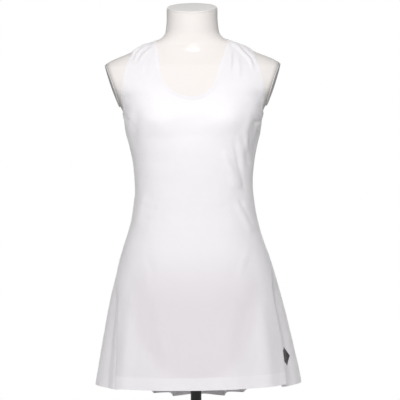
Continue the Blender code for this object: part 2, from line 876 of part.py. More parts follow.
def back_skirt_row(share):
    """One level of the back skirt, from the right side fold round to the left one."""
    row = []
    last = FOLD_STEPS[-1]
    top = SKIRT_SEAM - SEAM

    def side_part(side):
        level = blend(top, SIDE_HEM, share)
        amount = fold_amount(level)
        clear = 3.0 * SEAM + HEM_CLOTH / 2.0 * ease(2.5 * amount)
        points = [fold_point(level, side, len(FOLD_STEPS) - 1) + past_edge(level, side) * clear]
        start_angle = side_angle(level, side) + FOLD_SPREAD_ANGLE * (1.0 - amount)
        for k in range(1, SIDE_COLUMNS):
            t = k / SIDE_COLUMNS
            angle = blend(start_angle, PLEATS_FROM, t)
            inward = last.inward * amount * (1.0 - ease(1.25 * t))
            place = DRESS.point(level, angle * side)
            place -= DRESS.outward(level, angle * side) * inward
            points.append(off_form(place, CLOTH_LIFT))
        return points

    row += side_part(1.0)
    for angle, deep in pleat_columns():
        level = blend(top, back_hem(angle), share)
        inward = deep * blend(PLEAT_TOP_DEPTH, PLEAT_HEM_DEPTH, share**0.8)
        place = DRESS.point(level, angle) - DRESS.outward(level, angle) * inward
        if level > FORM_BOTTOM:
            place = off_form(place, CLOTH_LIFT)
        row.append(place)
    row += side_part(-1.0)[::-1]
    return row


def build_back_skirt():
    sheet = Sheet()
    sheet.add_grid([back_skirt_row(i / PLEAT_ROWS) for i in range(PLEAT_ROWS + 1)])
    return sheet.solid("back_skirt", CLOTH, "white_jersey")


# Dress form


def cut_plane(side):
    along = ARM_CUT_TOP - ARM_CUT_FOOT
    normal = Vector((along.z, 0.0, -along.x)).normalized()
    normal = Matrix.Rotation(-ARM_CUT_YAW, 3, "Z") @ normal
    return (
        Vector((side * ARM_CUT_TOP.x, ARM_CUT_TOP.y, ARM_CUT_TOP.z)),
        Vector((side * normal.x, normal.y, normal.z)),
    )


def neck_plane():
    normal = Vector((0.0, -math.sin(NECK_CUT_TILT), math.cos(NECK_CUT_TILT)))
    return NECK_CUT, normal


def slice_off(bm, place, normal):
    """Cuts a shoulder or the neck flat and returns the cut's outline in order."""
    bm.verts.index_update()
    bm.edges.index_update()
    faces = [face for face in bm.faces if min(v.co.z for v in face.verts) > CUTS_ABOVE]
    edges = {edge for face in faces for edge in face.edges}
    verts = {vert for face in faces for vert in face.verts}
    upper = sorted(verts, key=lambda v: v.index) + sorted(edges, key=lambda e: e.index) + faces
    bmesh.ops.bisect_plane(
        bm, geom=upper, plane_co=place, plane_no=normal, clear_outer=True, dist=1e-6
    )
    rim = [edge for edge in bm.edges if edge.is_boundary]
    filled = bmesh.ops.holes_fill(bm, edges=rim, sides=0)
    return [vert.co.copy() for vert in filled["faces"][0].verts]


def form_levels():
    levels = [FORM_BOTTOM]
    for run in FORM_RING_RUNS:
        start = levels[-1]
        levels += [blend(start, run.top, (i + 1) / run.rings) for i in range(run.rings)]
    return levels


def form_mesh():
    bm = bmesh.new()
    rings = []
    for height in form_levels():
        ring = [
            bm.verts.new(FORM.point(height, math.tau * j / FORM_SIDES))
            for j in range(FORM_SIDES)
        ]
        rings.append(ring)
    for lower, upper in zip(rings, rings[1:]):
        for j in range(FORM_SIDES):
            k = (j + 1) % FORM_SIDES
            bm.faces.new((lower[j], lower[k], upper[k], upper[j]))
    bm.faces.new(rings[0][::-1])
    bm.faces.new(rings[-1])
    outlines = {}
    outlines["neck_cap"] = slice_off(bm, *neck_plane())
    outlines["arm_cap_left"] = slice_off(bm, *cut_plane(-1.0))
    outlines["arm_cap_right"] = slice_off(bm, *cut_plane(1.0))
    bmesh.ops.remove_doubles(bm, verts=bm.verts[:], dist=1e-5)
    bmesh.ops.recalc_face_normals(bm, faces=bm.faces[:])
    mesh = bpy.data.meshes.new("form_torso")
    bm.to_mesh(mesh)
    bm.free()
    return mesh, outlines


def cap_mesh(name, outline, normal):
    """A thin, slightly domed plate over a flat cut."""
    middle = sum(outline, Vector((0.0, 0.0, 0.0))) / len(outline)
    spread = sum((p - middle).length for p in outline) / len(outline)
    levels = (
        (SEAM, 1.0 - CAP_INSET / spread),
        (SEAM + CAP_THICK * 0.7, 1.0 - CAP_INSET / spread),
        (SEAM + CAP_THICK, 0.94),
        (SEAM + CAP_THICK + CAP_DOME, 0.55),
    )
    bm = bmesh.new()
    rings = []
    for lift, scale in levels:
        ring = [bm.verts.new(middle + (p - middle) * scale + normal * lift) for p in outline]
        rings.append(ring)
    count = len(outline)
    for lower, upper in zip(rings, rings[1:]):
        for j in range(count):
            k = (j + 1) % count
            bm.faces.new((lower[j], lower[k], upper[k], upper[j]))
    bm.faces.new(rings[0][::-1])
    bm.faces.new(rings[-1])
    bmesh.ops.recalc_face_normals(bm, faces=bm.faces[:])
    mesh = bpy.data.meshes.new(name)
    bm.to_mesh(mesh)
    bm.free()
    return mesh


def build_form():
    mesh, outlines = form_mesh()
    add_object("form_torso", mesh, "form_shell", math.radians(50.0))
    normals = {
        "neck_cap": neck_plane()[1],
        "arm_cap_left": cut_plane(-1.0)[1],
        "arm_cap_right": cut_plane(1.0)[1],
    }
    for name, outline in outlines.items():
        add_object(name, cap_mesh(name, outline, normals[name]), "form_cap")


# Stand


def turned_mesh(name, profile):
    """A solid of revolution from (radius, height) points, from the bottom up."""
    bm = bmesh.new()
    rings = []
    for radius, height in profile:
        ring = []
        for j in range(ROUND_SIDES):
            angle = math.tau * j / ROUND_SIDES
            ring.append(bm.verts.new((radius * math.cos(angle), radius * math.sin(angle), height)))
        rings.append(ring)
    for lower, upper in zip(rings, rings[1:]):
        for j in range(ROUND_SIDES):
            k = (j + 1) % ROUND_SIDES
            bm.faces.new((lower[j], lower[k], upper[k], upper[j]))
    if profile[0] != profile[-1]:
        bm.faces.new(rings[0][::-1])
        bm.faces.new(rings[-1])
    else:
        bmesh.ops.remove_doubles(bm, verts=bm.verts[:], dist=1e-6)
    bmesh.ops.recalc_face_normals(bm, faces=bm.faces[:])
    mesh = bpy.data.meshes.new(name)
    bm.to_mesh(mesh)
    bm.free()
    return mesh


def build_stand():
    base = [
        (BASE_RADIUS - BASE_BEVEL * 0.5, 0.0),
        (BASE_RADIUS, BASE_BEVEL * 0.5),
        (BASE_RADIUS, BASE_THICK - BASE_BEVEL),
        (BASE_RADIUS - BASE_BEVEL, BASE_THICK),
    ]
    add_object("stand_base", turned_mesh("stand_base", base), "black_stand")

    bore = POLE_RADIUS + SEAM
    foot = BASE_THICK + SEAM
    collar = [
        (bore, foot),
        (COLLAR_RADIUS, foot),
        (COLLAR_RADIUS, foot + COLLAR_HEIGHT * 0.6),
        (COLLAR_RADIUS - 0.005, foot + COLLAR_HEIGHT),
        (bore, foot + COLLAR_HEIGHT),
        (bore, foot),
    ]
    add_object("stand_collar", turned_mesh("stand_collar", collar), "black_stand")

    socket_top = FORM_BOTTOM - SEAM
    socket_foot = socket_top - SOCKET_HEIGHT
    socket = [
        (SOCKET_RADIUS * 0.6, socket_foot),
        (SOCKET_RADIUS, socket_foot + SOCKET_HEIGHT * 0.5),
        (SOCKET_RADIUS, socket_top),
    ]
    add_object("form_socket", turned_mesh("form_socket", socket), "black_stand")

    pole = [(POLE_RADIUS, foot), (POLE_RADIUS, socket_foot - SEAM)]
    add_object("stand_pole", turned_mesh("stand_pole", pole), "black_stand")


def main():
    clear_scene()
    build_stand()
    build_form()
    neck = neck_opening()
    arms = {-1.0: arm_opening(-1.0), 1.0: arm_opening(1.0)}
    build_front(neck, arms)
    build_back(neck, arms)
    build_back_skirt()
    build_band("neck_band", neck)
    build_band("armhole_band_left", arms[-1.0])
    build_band("armhole_band_right", arms[1.0])


main()
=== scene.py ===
"""Looks of a sleeveless athletic dress on a limbless dress form.

Metres, +Z up. The front faces -Y. Left and right are as seen from the front: right is +X.
The cloth pieces are thin shells on their solids' form, with listed creases.
"""

import math
from collections import namedtuple

import bmesh
import bpy
from mathutils import Matrix, Vector, noise
from mathutils.bvhtree import BVHTree
from mathutils.kdtree import KDTree


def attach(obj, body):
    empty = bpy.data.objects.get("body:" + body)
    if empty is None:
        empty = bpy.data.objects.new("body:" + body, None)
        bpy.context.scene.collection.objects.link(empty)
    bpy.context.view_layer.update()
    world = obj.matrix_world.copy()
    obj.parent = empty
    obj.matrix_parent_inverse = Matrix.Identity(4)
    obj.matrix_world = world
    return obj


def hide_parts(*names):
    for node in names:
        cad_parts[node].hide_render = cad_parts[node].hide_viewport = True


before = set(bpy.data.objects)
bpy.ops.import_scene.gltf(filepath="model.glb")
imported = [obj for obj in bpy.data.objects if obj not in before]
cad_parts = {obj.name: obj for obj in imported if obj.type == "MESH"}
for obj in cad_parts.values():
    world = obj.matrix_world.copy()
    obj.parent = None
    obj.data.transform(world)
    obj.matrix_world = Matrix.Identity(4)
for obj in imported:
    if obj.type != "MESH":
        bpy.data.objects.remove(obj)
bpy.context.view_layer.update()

# Gaps and cloth walls
SEAM = 0.0003
BAND_SEAM = -0.0008
CLOTH = 0.0013
HEM_CLOTH = 0.0024
BAND_CLOTH = 0.0017
BAND_LIFT = 0.0004
CLOTH_LIFT = 0.0018
SKIN_GAP = 0.0011
HUG_REACH = 0.045
NECK_HUG = 0.95
ARM_HUG = {-1.0: 0.80, 1.0: 0.75}

# Heights above the floor
FRONT_HEM = 0.200
HEM_RISE = 0.004
HEM_RISE_WIDE = 0.2
HEM_DEPTH = 0.028
HEM_EDGE_SOFT = 0.0012
HEM_STEP = 0.001
SIDE_HEM = 0.197
BACK_HEM = 0.139
HEM_DIP = 1.4
SKIRT_SEAM = 0.500
YOKE_BASE = 0.800
SKIN_FACES_FROM = YOKE_BASE - 0.02

# Bands
NECK_BAND_WIDTH = 0.0085
ARM_BAND_WIDTH = 0.0075

# Dress form
FORM_BOTTOM = 0.312
FORM_TOP = 1.110
FORM_SIDES = 160
NECK_CUT = Vector((0.0, 0.004, 1.0715))
NECK_CUT_TILT = math.radians(17.7)
ARM_CUT_TOP = Vector((0.2025, 0.0, 0.941))
ARM_CUT_FOOT = Vector((0.1745, 0.0, 0.857))
ARM_CUT_YAW = math.radians(4.0)
CUTS_ABOVE = 0.799
FORM_RINGS = 260


def table(kind, rows):
    return [kind(*row) for row in rows]


Section = namedtuple("Section", "height side front back square lean drift", defaults=(0.0, 0.0))

# Half width, depth in front of and behind the middle plane, squareness, and the middle's shift
FORM_SECTIONS = table(Section, [
    (0.312, 0.072, 0.050, 0.066, 2.2),
    (0.320, 0.108, 0.076, 0.092, 2.2),
    (0.336, 0.134, 0.092, 0.108, 2.2),
    (0.370, 0.158, 0.102, 0.120, 2.3),
    (0.410, 0.168, 0.106, 0.126, 2.3),
    (0.456, 0.170, 0.107, 0.127, 2.3),
    (0.520, 0.157, 0.103, 0.115, 2.3),
    (0.580, 0.139, 0.095, 0.098, 2.3),
    (0.656, 0.127, 0.088, 0.084, 2.3),
    (0.707, 0.132, 0.090, 0.086, 2.3),
    (0.745, 0.140, 0.095, 0.090, 2.4),
    (0.782, 0.149, 0.099, 0.094, 2.4),
    (0.806, 0.156, 0.101, 0.097, 2.4),
    (0.838, 0.167, 0.102, 0.100, 2.4),
    (0.857, 0.182, 0.100, 0.101, 2.4),
    (0.880, 0.211, 0.095, 0.101, 2.4),
    (0.905, 0.227, 0.087, 0.098, 2.4),
    (0.930, 0.221, 0.078, 0.091, 2.3),
    (0.941, 0.205, 0.073, 0.087, 2.3, 0.001),
    (0.951, 0.188, 0.069, 0.083, 2.2, 0.002),
    (0.969, 0.145, 0.063, 0.076, 2.1, 0.003),
    (0.979, 0.128, 0.061, 0.072, 2.0, 0.003),
    (0.988, 0.106, 0.060, 0.069, 2.0, 0.004),
    (0.997, 0.082, 0.0595, 0.066, 2.0, 0.004),
    (1.007, 0.068, 0.059, 0.063, 2.0, 0.004),
    (1.018, 0.0625, 0.059, 0.061, 2.0, 0.004),
    (1.050, 0.0595, 0.0585, 0.0590, 2.0, 0.004),
    (1.110, 0.0600, 0.0590, 0.0590, 2.0, 0.004),
])

# The dress below the armholes; above them it lies on the form
DRESS_SECTIONS = table(Section, [
    (0.130, 0.2530, 0.180, 0.206, 2.3, 0.0, 0.0060),
    (0.200, 0.2400, 0.168, 0.192, 2.3, 0.0, 0.0060),
    (0.295, 0.2215, 0.152, 0.174, 2.3, 0.0, 0.0045),
    (0.389, 0.2015, 0.136, 0.157, 2.3, 0.0, 0.0025),
    (0.464, 0.1820, 0.122, 0.142, 2.3, 0.0, 0.0010),
    (0.520, 0.1640, 0.113, 0.127, 2.3),
    (0.5575, 0.1520, 0.107, 0.116, 2.3),
    (0.600, 0.1425, 0.101, 0.105, 2.3),
    (0.656, 0.1370, 0.097, 0.094, 2.3),
    (0.707, 0.1405, 0.101, 0.093, 2.3),
    (0.745, 0.1475, 0.107, 0.096, 2.4),
    (0.782, 0.1575, 0.112, 0.099, 2.4),
    (0.806, 0.1640, 0.114, 0.102, 2.4),
    (0.830, 0.1690, 0.111, 0.105, 2.4),
])
DRESS_ON_FORM = 0.850
CHEST_LOOSE = 0.0025
CHEST_TOP = 0.960

# Cups: the middle of each one, how far it spreads, and how far it stands out
CUP_SIDE = 0.088
CUP_HEIGHT = 0.806
CUP_WIDE = 0.044
CUP_TALL = 0.042
FORM_CUP = 0.017
DRESS_CUP = 0.012

# Where the front's side edges run, in degrees from the front middle
SideFold = namedtuple("SideFold", "height left right")
SIDE_FOLDS = table(SideFold, [
    (0.200, 47.5, 54.0),
    (0.295, 53.0, 58.0),
    (0.389, 60.0, 60.5),
    (0.430, 68.0, 65.0),
    (0.470, 80.0, 74.0),
    (0.505, 90.0, 90.0),
    (0.900, 90.0, 90.0),
])

# The turned-back edge at each side fold: how far along the ring and how far inwards
FoldStep = namedtuple("FoldStep", "place along inward")
FOLD_STEPS = table(FoldStep, [
    (0.0, 0.0, 0.0),
    (1.0, 0.0015, 0.0030),
    (2.0, 0.0022, 0.0085),
    (3.0, 0.0010, 0.0150),
])
FOLD_GROWTH = 0.130
FOLD_SPREAD = 0.009
FOLD_SPREAD_ANGLE = math.radians(5.0)
FOLD_CLEAR = 3.0 * SEAM
FOLD_CLEAR_GROWTH = 2.5
FOLD_INWARD_FADE = 1.25

# Openings, by points seen from the front or the back, to be laid on the dress
EdgePoint = namedtuple("EdgePoint", "across height")
NECK_FRONT_RIGHT = table(EdgePoint, [
    (-0.001, 0.8575), (0.022, 0.8630), (0.044, 0.8800), (0.0560, 0.9080), (0.0625, 0.9330),
    (0.0735, 0.9620), (0.0800, 0.9985),
])
NECK_FRONT_LEFT = table(EdgePoint, [
    (-0.001, 0.8575), (-0.030, 0.8640), (-0.055, 0.8810), (-0.0690, 0.9060), (-0.0745, 0.9340),
    (-0.0780, 0.9640), (-0.0810, 0.9985),
])
NECK_BACK = table(EdgePoint, [
    (0.0, 0.9350), (0.033, 0.9410), (0.061, 0.9600), (0.0760, 0.9820), (0.0805, 0.9985),
])
ARMHOLE_FRONT = table(EdgePoint, [
    (0.1675, 0.8190), (0.1640, 0.8300), (0.1650, 0.8520), (0.1640, 0.8780), (0.1590, 0.9060),
    (0.1510, 0.9370), (0.1420, 0.9600), (0.1370, 0.9745),
])
ARMHOLE_BACK = table(EdgePoint, [
    (0.1675, 0.8190), (0.1560, 0.8280), (0.1400, 0.8480), (0.1260, 0.8760), (0.1180, 0.9080),
    (0.1210, 0.9400), (0.1310, 0.9620), (0.1370, 0.9745),
])

# The back skirt swells out beside each side fold, as a share of the side part's width
RIDGE_PLACE = 0.050
RIDGE_FADE = 0.240
RIDGE_HIGH = {-1.0: 0.0100, 1.0: 0.0050}

# Places in the middle of the openings, and how far across the side plane's points begin
NECK_INSIDE = Vector((0.0, 0.0, 0.975))
ARM_INSIDE = Vector((0.23, 0.0, 0.90))
SIDE_BEYOND = 0.1

# How finely the shells are made
YOKE_ROWS = 72
CENTRE_ROWS_FRONT = 12
CENTRE_ROWS_BACK = 20
CREST_GATHER = 1.3
YOKE_PUSH = 0.025
YOKE_SETTLED = 0.7
SEAM_ROWS = 4
HALF_COLUMNS = 44
BODICE_ROWS = 64
SKIRT_ROWS = 60
BAND_COLUMNS = 6
FOLD_FINE = 4
SIDE_COLUMNS = 36
SIDE_GATHER = 1.5
PLEAT_ROWS = 60
PLEAT_FINE = 4
PATH_FINE = 16
FORM_SKIN_GRID = (320, 240)
DRESS_SKIN_GRID = (180, 300)
DRESS_SKIN_SPAN = (0.74, 1.012)

# Broad soft folds in the front, each along a line seen from the front
SoftFold = namedtuple("SoftFold", "from_x from_z to_x to_z wide deep")
SOFT_FOLDS = table(SoftFold, [
    (0.070, 0.735, 0.104, 0.640, 0.012, 0.0030),
    (0.106, 0.620, 0.140, 0.545, 0.009, 0.0030),
    (-0.112, 0.640, -0.136, 0.560, 0.010, 0.0025),
    (-0.150, 0.400, -0.165, 0.200, 0.022, 0.0050),
    (0.150, 0.400, 0.160, 0.200, 0.022, 0.0050),
    (-0.055, 0.330, -0.080, 0.200, 0.026, 0.0035),
    (0.070, 0.350, 0.085, 0.200, 0.026, 0.0035),
])

# Knife pleats of the back skirt, from the side round to the middle of the back
PLEATS_FROM = math.radians(103.0)
PLEAT_TOP_DEPTH = 0.0015
PLEAT_HEM_DEPTH = 0.031
PLEAT_HEM_RISE = -0.0045
PLEAT_UNEVEN = [0.72, 0.96, 1.08, 0.90, 1.05, 0.98]
PLEAT_OPENS = 0.8
PLEAT_TENSION = 0.3
PleatStep = namedtuple("PleatStep", "along inward")
PLEAT_PROFILE = table(PleatStep, [
    (0.00, 1.00), (0.32, 0.60), (0.62, 0.22), (0.86, 0.00), (0.97, 0.12), (1.01, 0.55),
])

# Camera and light
CAMERA_X = 0.0140
CAMERA_Z = 0.623
CAMERA_AWAY = 3.2
CAMERA_ROLL = 0.6
FRAME_WIDE = 0.936
ROOM_LIGHT = 0.29
FLOOR_RADIUS = 0.98
FLOOR_SIDES = 96
SWEEP_RADIUS = 40.0
SENSOR_WIDE = 36.0
AreaLight = namedtuple("AreaLight", "name place aim wide tall watts mirrored")
LIGHTS = table(AreaLight, [
    ("key", (-0.5, -2.8, 1.85), (0.0, 0.0, 0.78), 1.1, 1.1, 46.0, False),
    ("top", (0.0, -1.5, 2.6), (0.0, 0.0, 0.8), 0.7, 0.7, 6.5, False),
    ("fill", (0.9, -2.8, 1.25), (0.0, 0.0, 0.75), 1.0, 1.0, 12.5, False),
    ("rear", (0.5, 2.6, 1.9), (0.0, 0.0, 0.6), 1.1, 1.1, 44.0, False),
    ("gloss", (0.02, -2.15, 2.50), (0.0, 0.0, 1.10), 0.30, 0.74, 8.5, True),
])

# The cut of each piece before it was sewn, in metres and square metres
Cut = namedtuple("Cut", "wide long area")
FRONT_CUT = Cut(0.47, 0.82, 0.310)
BACK_CUT = Cut(0.49, 0.52, 0.176)
SKIRT_CUT = Cut(1.39, 0.37, 0.330)
NECK_BAND_CUT = Cut(0.0105, 0.72, None)
ARM_BAND_CUT = Cut(0.0100, 0.49, None)

# Caps and thread
CAP_THICK = 0.003
CAP_INSET = 0.0015
CAP_DOME = 0.002
CAP_WALL = 0.7
CAP_FLAT = 0.96
CAP_RIM_STEPS = 6
CAP_DOME_STEPS = 8
STITCH_LONG = 0.0026
STITCH_GAP = 0.0009
STITCH_RADIUS = 0.00028
STITCH_SIDES = 5
THREAD_REACH = 0.03
HEM_ROWS_DOWN = (0.0022, 0.0062)
HEM_STEPS = 142
HIP_ROW_UP = 0.0035
HIP_ROW_SPAN = (0.512, 1.488)
HIP_STEPS = 120
SKIRT_HEM_ROW = 0.965
SKIRT_HEM_SKIP = 6
TACK_ACROSS = (0.0806, 0.0812, 0.0818)
TACK_TOP = 0.9955
TACK_LONG = 0.0085

# The printed mark: its middle, the way along the cloth, and its size
MARK_AT = (0.2045, -0.0662, 0.2630)
MARK_WAY = (0.62, 0.78)
MARK_HALF_WIDE = 0.0205
MARK_HALF_TALL = 0.0215


# Materials


class Value:
    """A number in a node tree; reckoning with it adds Math nodes."""

    def __init__(self, tree, socket):
        self.tree = tree
        self.socket = socket

    def math(self, kind, *others):
        node = self.tree.nodes.new("ShaderNodeMath")
        node.operation = kind
        for value, socket in zip((self, *others), node.inputs):
            if isinstance(value, Value):
                self.tree.links.new(value.socket, socket)
            else:
                socket.default_value = value
        return Value(self.tree, node.outputs[0])

    def __add__(self, other):
        return self.math("ADD", other)

    def __sub__(self, other):
        return self.math("SUBTRACT", other)

    def __mul__(self, other):
        return self.math("MULTIPLY", other)

    def __truediv__(self, other):
        return self.math("DIVIDE", other)

    def __abs__(self):
        return self.math("ABSOLUTE")

    def step(self, low, high):
        """0 below low, 1 above high, and smooth between."""
        node = self.tree.nodes.new("ShaderNodeMapRange")
        node.interpolation_type = "SMOOTHSTEP"
        node.inputs["From Min"].default_value = low
        node.inputs["From Max"].default_value = high
        self.tree.links.new(self.socket, node.inputs["Value"])
        return Value(self.tree, node.outputs["Result"])


class Nodes:
    """A material's node tree, built up in a few calls."""

    def __init__(self, name, **settings):
        self.name = name
        self.material = bpy.data.materials.new(name)
        self.material.use_nodes = True
        self.tree = self.material.node_tree
        self.shader = self.tree.nodes["Principled BSDF"]
        self.place = self.tree.nodes.new("ShaderNodeTexCoord").outputs["Object"]
        for setting, value in settings.items():
            self.shader.inputs[setting.replace("_", " ")].default_value = value

    def read(self, kind, output, **settings):
        """A number that a node finds from the place on the surface."""
        node = self.tree.nodes.new("ShaderNode" + kind)
        for setting, value in settings.items():
            node.inputs[setting].default_value = value
        self.tree.links.new(self.place, node.inputs["Vector"])
        return Value(self.tree, node.outputs[output])

    def noise(self, scale, detail=2.0):
        return self.read("TexNoise", "Fac", Scale=scale, Detail=detail)

    def across(self, axes):
        return [self.read("SeparateXYZ", axis) for axis in axes]

    def mix(self, share, a, b):
        node = self.tree.nodes.new("ShaderNodeMix")
        node.data_type = "RGBA"
        self.tree.links.new(share.socket, node.inputs["Factor"])
        for value, socket in ((a, node.inputs["A"]), (b, node.inputs["B"])):
            if isinstance(value, tuple):
                socket.default_value = (*value, 1.0)
            else:
                self.tree.links.new(value, socket)
        return node.outputs["Result"]

    def drive(self, setting, socket):
        self.tree.links.new(socket, self.shader.inputs[setting])

    def glow_by(self, share):
        """Turns into plain white light where the share is 1."""
        light = self.tree.nodes.new("ShaderNodeEmission")
        mixed = self.tree.nodes.new("ShaderNodeMixShader")
        self.tree.links.new(share.socket, mixed.inputs["Fac"])
        self.tree.links.new(self.shader.outputs[0], mixed.inputs[1])
        self.tree.links.new(light.outputs[0], mixed.inputs[2])
        self.tree.links.new(mixed.outputs[0], self.tree.nodes["Material Output"].inputs["Surface"])

    def bump(self, *layers):
        """Bumps on each other, each as (height, distance in metres)."""
        below = None
        for height, distance in layers:
            node = self.tree.nodes.new("ShaderNodeBump")
            node.inputs["Distance"].default_value = distance
            self.tree.links.new(height.socket, node.inputs["Height"])
            if below:
                self.tree.links.new(below, node.inputs["Normal"])
            below = node.outputs["Normal"]
        self.drive("Normal", below)


def knit(name, light):
    """Fine white knit with a faint unevenness of tone."""
    made = Nodes(
        name, Roughness=0.82, Sheen_Weight=0.34, Sheen_Roughness=0.45, Specular_IOR_Level=0.3
    )
    cells = made.read("TexVoronoi", "Distance", Scale=820.0)
    made.bump((cells, 0.00022), (made.noise(1500.0), 0.0001))
    return made, made.mix(made.noise(26.0, 3.0), light, tuple(0.975 * c for c in light))


def front_knit():
    """The front, with a painted lighter band over the bust, painted shade low down, and painted
    shade where the thin cloth hangs before the form's foot; the turned-up hem is set lighter than
    the painted shade above it.
    """
    made, tone = knit("front_jersey", (0.830, 0.808, 0.828))
    x, z = made.across("XZ")
    # painted light: a lighter band over the bust, where the light falls most
    tone = made.mix(z.step(0.62, 0.76) * z.step(0.93, 0.82), tone, (0.885, 0.866, 0.884))
    # painted shade: the cloth darker towards the bottom
    tone = made.mix(z.step(0.58, 0.24) * 0.8, tone, (0.745, 0.72, 0.75))
    # painted shade: darker where the form's foot stands behind the thin cloth
    across, down = x / 0.142, (z - 0.405) / 0.190
    painted_shade_over_form = (across * across + down * down).step(1.20, 0.80) * z.step(0.52, 0.38)
    tone = made.mix(painted_shade_over_form * 0.85, tone, (0.705, 0.672, 0.702))
    up = z - x.math("MAXIMUM", 0.0) * (HEM_RISE / HEM_RISE_WIDE)
    top = FRONT_HEM + HEM_DEPTH
    tone = made.mix(up.step(top, top - HEM_EDGE_SOFT) * 0.75, tone, (0.80, 0.78, 0.805))
    made.drive("Base Color", tone)
    return made


def skirt_knit():
    """The back skirt, with a small plain printed lozenge on its right side part."""
    made, tone = knit("skirt_jersey", (0.84, 0.82, 0.84))
    x, y, z = made.across("XYZ")
    along = (x - MARK_AT[0]) * MARK_WAY[0] + (y - MARK_AT[1]) * MARK_WAY[1]
    reach = abs(along) / MARK_HALF_WIDE + abs(z - MARK_AT[2]) / MARK_HALF_TALL
    inked = x.step(0.10, 0.12) * reach.step(1.02, 0.97)
    made.drive("Base Color", made.mix(inked, tone, (0.032, 0.026, 0.030)))
    return made


def plain_knit(name, light):
    made, tone = knit(name, light)
    made.drive("Base Color", tone)
    return made


def shell_finish():
    """The form is polished round the foot of its neck, with painted shade towards the arm cuts."""
    made = Nodes("form_shell", Roughness=0.5, Specular_IOR_Level=0.35, Coat_Roughness=0.12)
    x, z = made.across("XZ")
    polished = z.step(0.925, 0.955) * z.step(0.984, 0.976) * 0.5
    made.drive("Coat Weight", polished.socket)
    tone = made.mix(made.noise(9.0), (0.828, 0.790, 0.766), (0.808, 0.769, 0.744))
    # painted shade: the shell darker towards each arm cut
    lean = (ARM_CUT_TOP.x - ARM_CUT_FOOT.x) / (ARM_CUT_TOP.z - ARM_CUT_FOOT.z)
    beyond = abs(x) - (z - ARM_CUT_TOP.z) * lean
    painted_shade_by_cut = beyond.step(ARM_CUT_TOP.x - 0.014, ARM_CUT_TOP.x) * 0.85
    made.drive("Base Color", made.mix(painted_shade_by_cut, tone, (0.52, 0.495, 0.48)))
    made.bump((made.noise(60.0, 1.0), 0.00008))
    return made


def plate_finish(name, light):
    made = Nodes(name, Roughness=0.42)
    tint = Vector((1.0, 0.98, 0.965)) * light
    made.drive("Base Color", made.mix(made.noise(14.0), tuple(tint), tuple(tint * 0.95)))
    made.bump((made.noise(700.0), 0.00005))
    return made


def stand_finish():
    made = Nodes("black_stand", Metallic=0.3)
    tone = made.mix(made.noise(30.0), (0.018, 0.018, 0.019), (0.030, 0.030, 0.032))
    made.drive("Base Color", tone)
    made.drive("Roughness", (made.noise(45.0) * 0.15 + 0.30).socket)
    made.bump((made.noise(1100.0), 0.00006))
    return made


def make_materials():
    floor = Nodes("floor", Roughness=0.9)
    floor.drive("Base Color", floor.mix(floor.noise(3.0), (0.88, 0.88, 0.88), (0.86, 0.86, 0.86)))
    x, y = floor.across("XY")
    floor.glow_by((x * x + y * y).math("SQRT").step(0.45, FLOOR_RADIUS * 0.97))
    sweep = Nodes("sweep")
    sweep.glow_by(sweep.across("Z")[0].step(-2.0, -1.0))
    made = [
        front_knit(),
        skirt_knit(),
        plain_knit("white_jersey", (0.845, 0.822, 0.845)),
        plain_knit("white_band", (0.842, 0.824, 0.842)),
        shell_finish(),
        plate_finish("neck_plate", 0.89),
        # painted shade: the arm plates are set darker than the neck plate
        plate_finish("arm_plate", 0.60),
        stand_finish(),
        floor,
        sweep,
    ]
    return {finish.name: finish.material for finish in made}


MATERIALS = make_materials()
SHARP = math.radians(50.0)


def add_object(name, data):
    made = bpy.data.objects.new(name, data)
    bpy.context.scene.collection.objects.link(made)
    return made


def add_piece(name, mesh, finish):
    """A new piece of the root body with its material."""
    mesh.materials.append(MATERIALS[finish])
    mesh.shade_smooth()
    mesh.set_sharp_from_angle(angle=SHARP)
    made = add_object(name, mesh)
    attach(made, "root")
    return made


# Interpolation


def ease(t):
    t = min(max(t, 0.0), 1.0)
    return t * t * (3.0 - 2.0 * t)


def blend(a, b, t):
    return a + (b - a) * t


def steady_slopes(xs, ys):
    """Slopes of a curve through the points that never overshoots them."""
    runs = [(ys[i + 1] - ys[i]) / (xs[i + 1] - xs[i]) for i in range(len(xs) - 1)]
    slopes = [runs[0]]
    for before, after in zip(runs, runs[1:]):
        steady = before * after > 0.0
        slopes.append(2.0 * before * after / (before + after) if steady else 0.0)
    return slopes + [runs[-1]]


class Curve:
    """A smooth column of a table against its first column."""

    def __init__(self, rows, column):
        self.xs = [row[0] for row in rows]
        self.ys = [getattr(row, column) for row in rows]
        self.slopes = steady_slopes(self.xs, self.ys)

    def at(self, x):
        x = min(max(x, self.xs[0]), self.xs[-1])
        i = 0
        while i < len(self.xs) - 2 and x > self.xs[i + 1]:
            i += 1
        span = self.xs[i + 1] - self.xs[i]
        t = (x - self.xs[i]) / span
        start = self.slopes[i] * (t * (1.0 - t) ** 2)
        end = self.slopes[i + 1] * (t * t * (t - 1.0))
        return blend(self.ys[i], self.ys[i + 1], ease(t)) + span * (start + end)


class Torso:
    """A stack of sections, read at any height and angle; angle 0 is the front middle."""

    def __init__(self, rows, cup):
        self.curves = [Curve(rows, column) for column in Section._fields[1:]]
        self.middle = Curve(rows, "lean")
        self.cup = cup

    def section(self, height):
        return Section(height, *(curve.at(height) for curve in self.curves))

    def point(self, height, angle):
        row = self.section(height)
        sine = math.sin(angle)
        cosine = math.cos(angle)
        power = 2.0 / row.square
        depth = row.front if cosine > 0.0 else row.back
        x = row.side * math.copysign(abs(sine) ** power, sine)
        y = row.lean - depth * math.copysign(abs(cosine) ** power, cosine)
        if cosine > 0.0:
            y -= self.cup * cup_shape(x, height)
        return Vector((x + row.drift, y, height))

    def outward(self, height, angle):
        """The horizontal direction away from the section."""
        step = math.radians(1.0)
        along = self.point(height, angle + step) - self.point(height, angle - step)
        return Vector((along.y, -along.x, 0.0)).normalized()


def cup_shape(x, height):
    across = (abs(x) - CUP_SIDE) / CUP_WIDE
    up = (height - CUP_HEIGHT) / CUP_TALL
    return math.exp(-across * across - up * up)


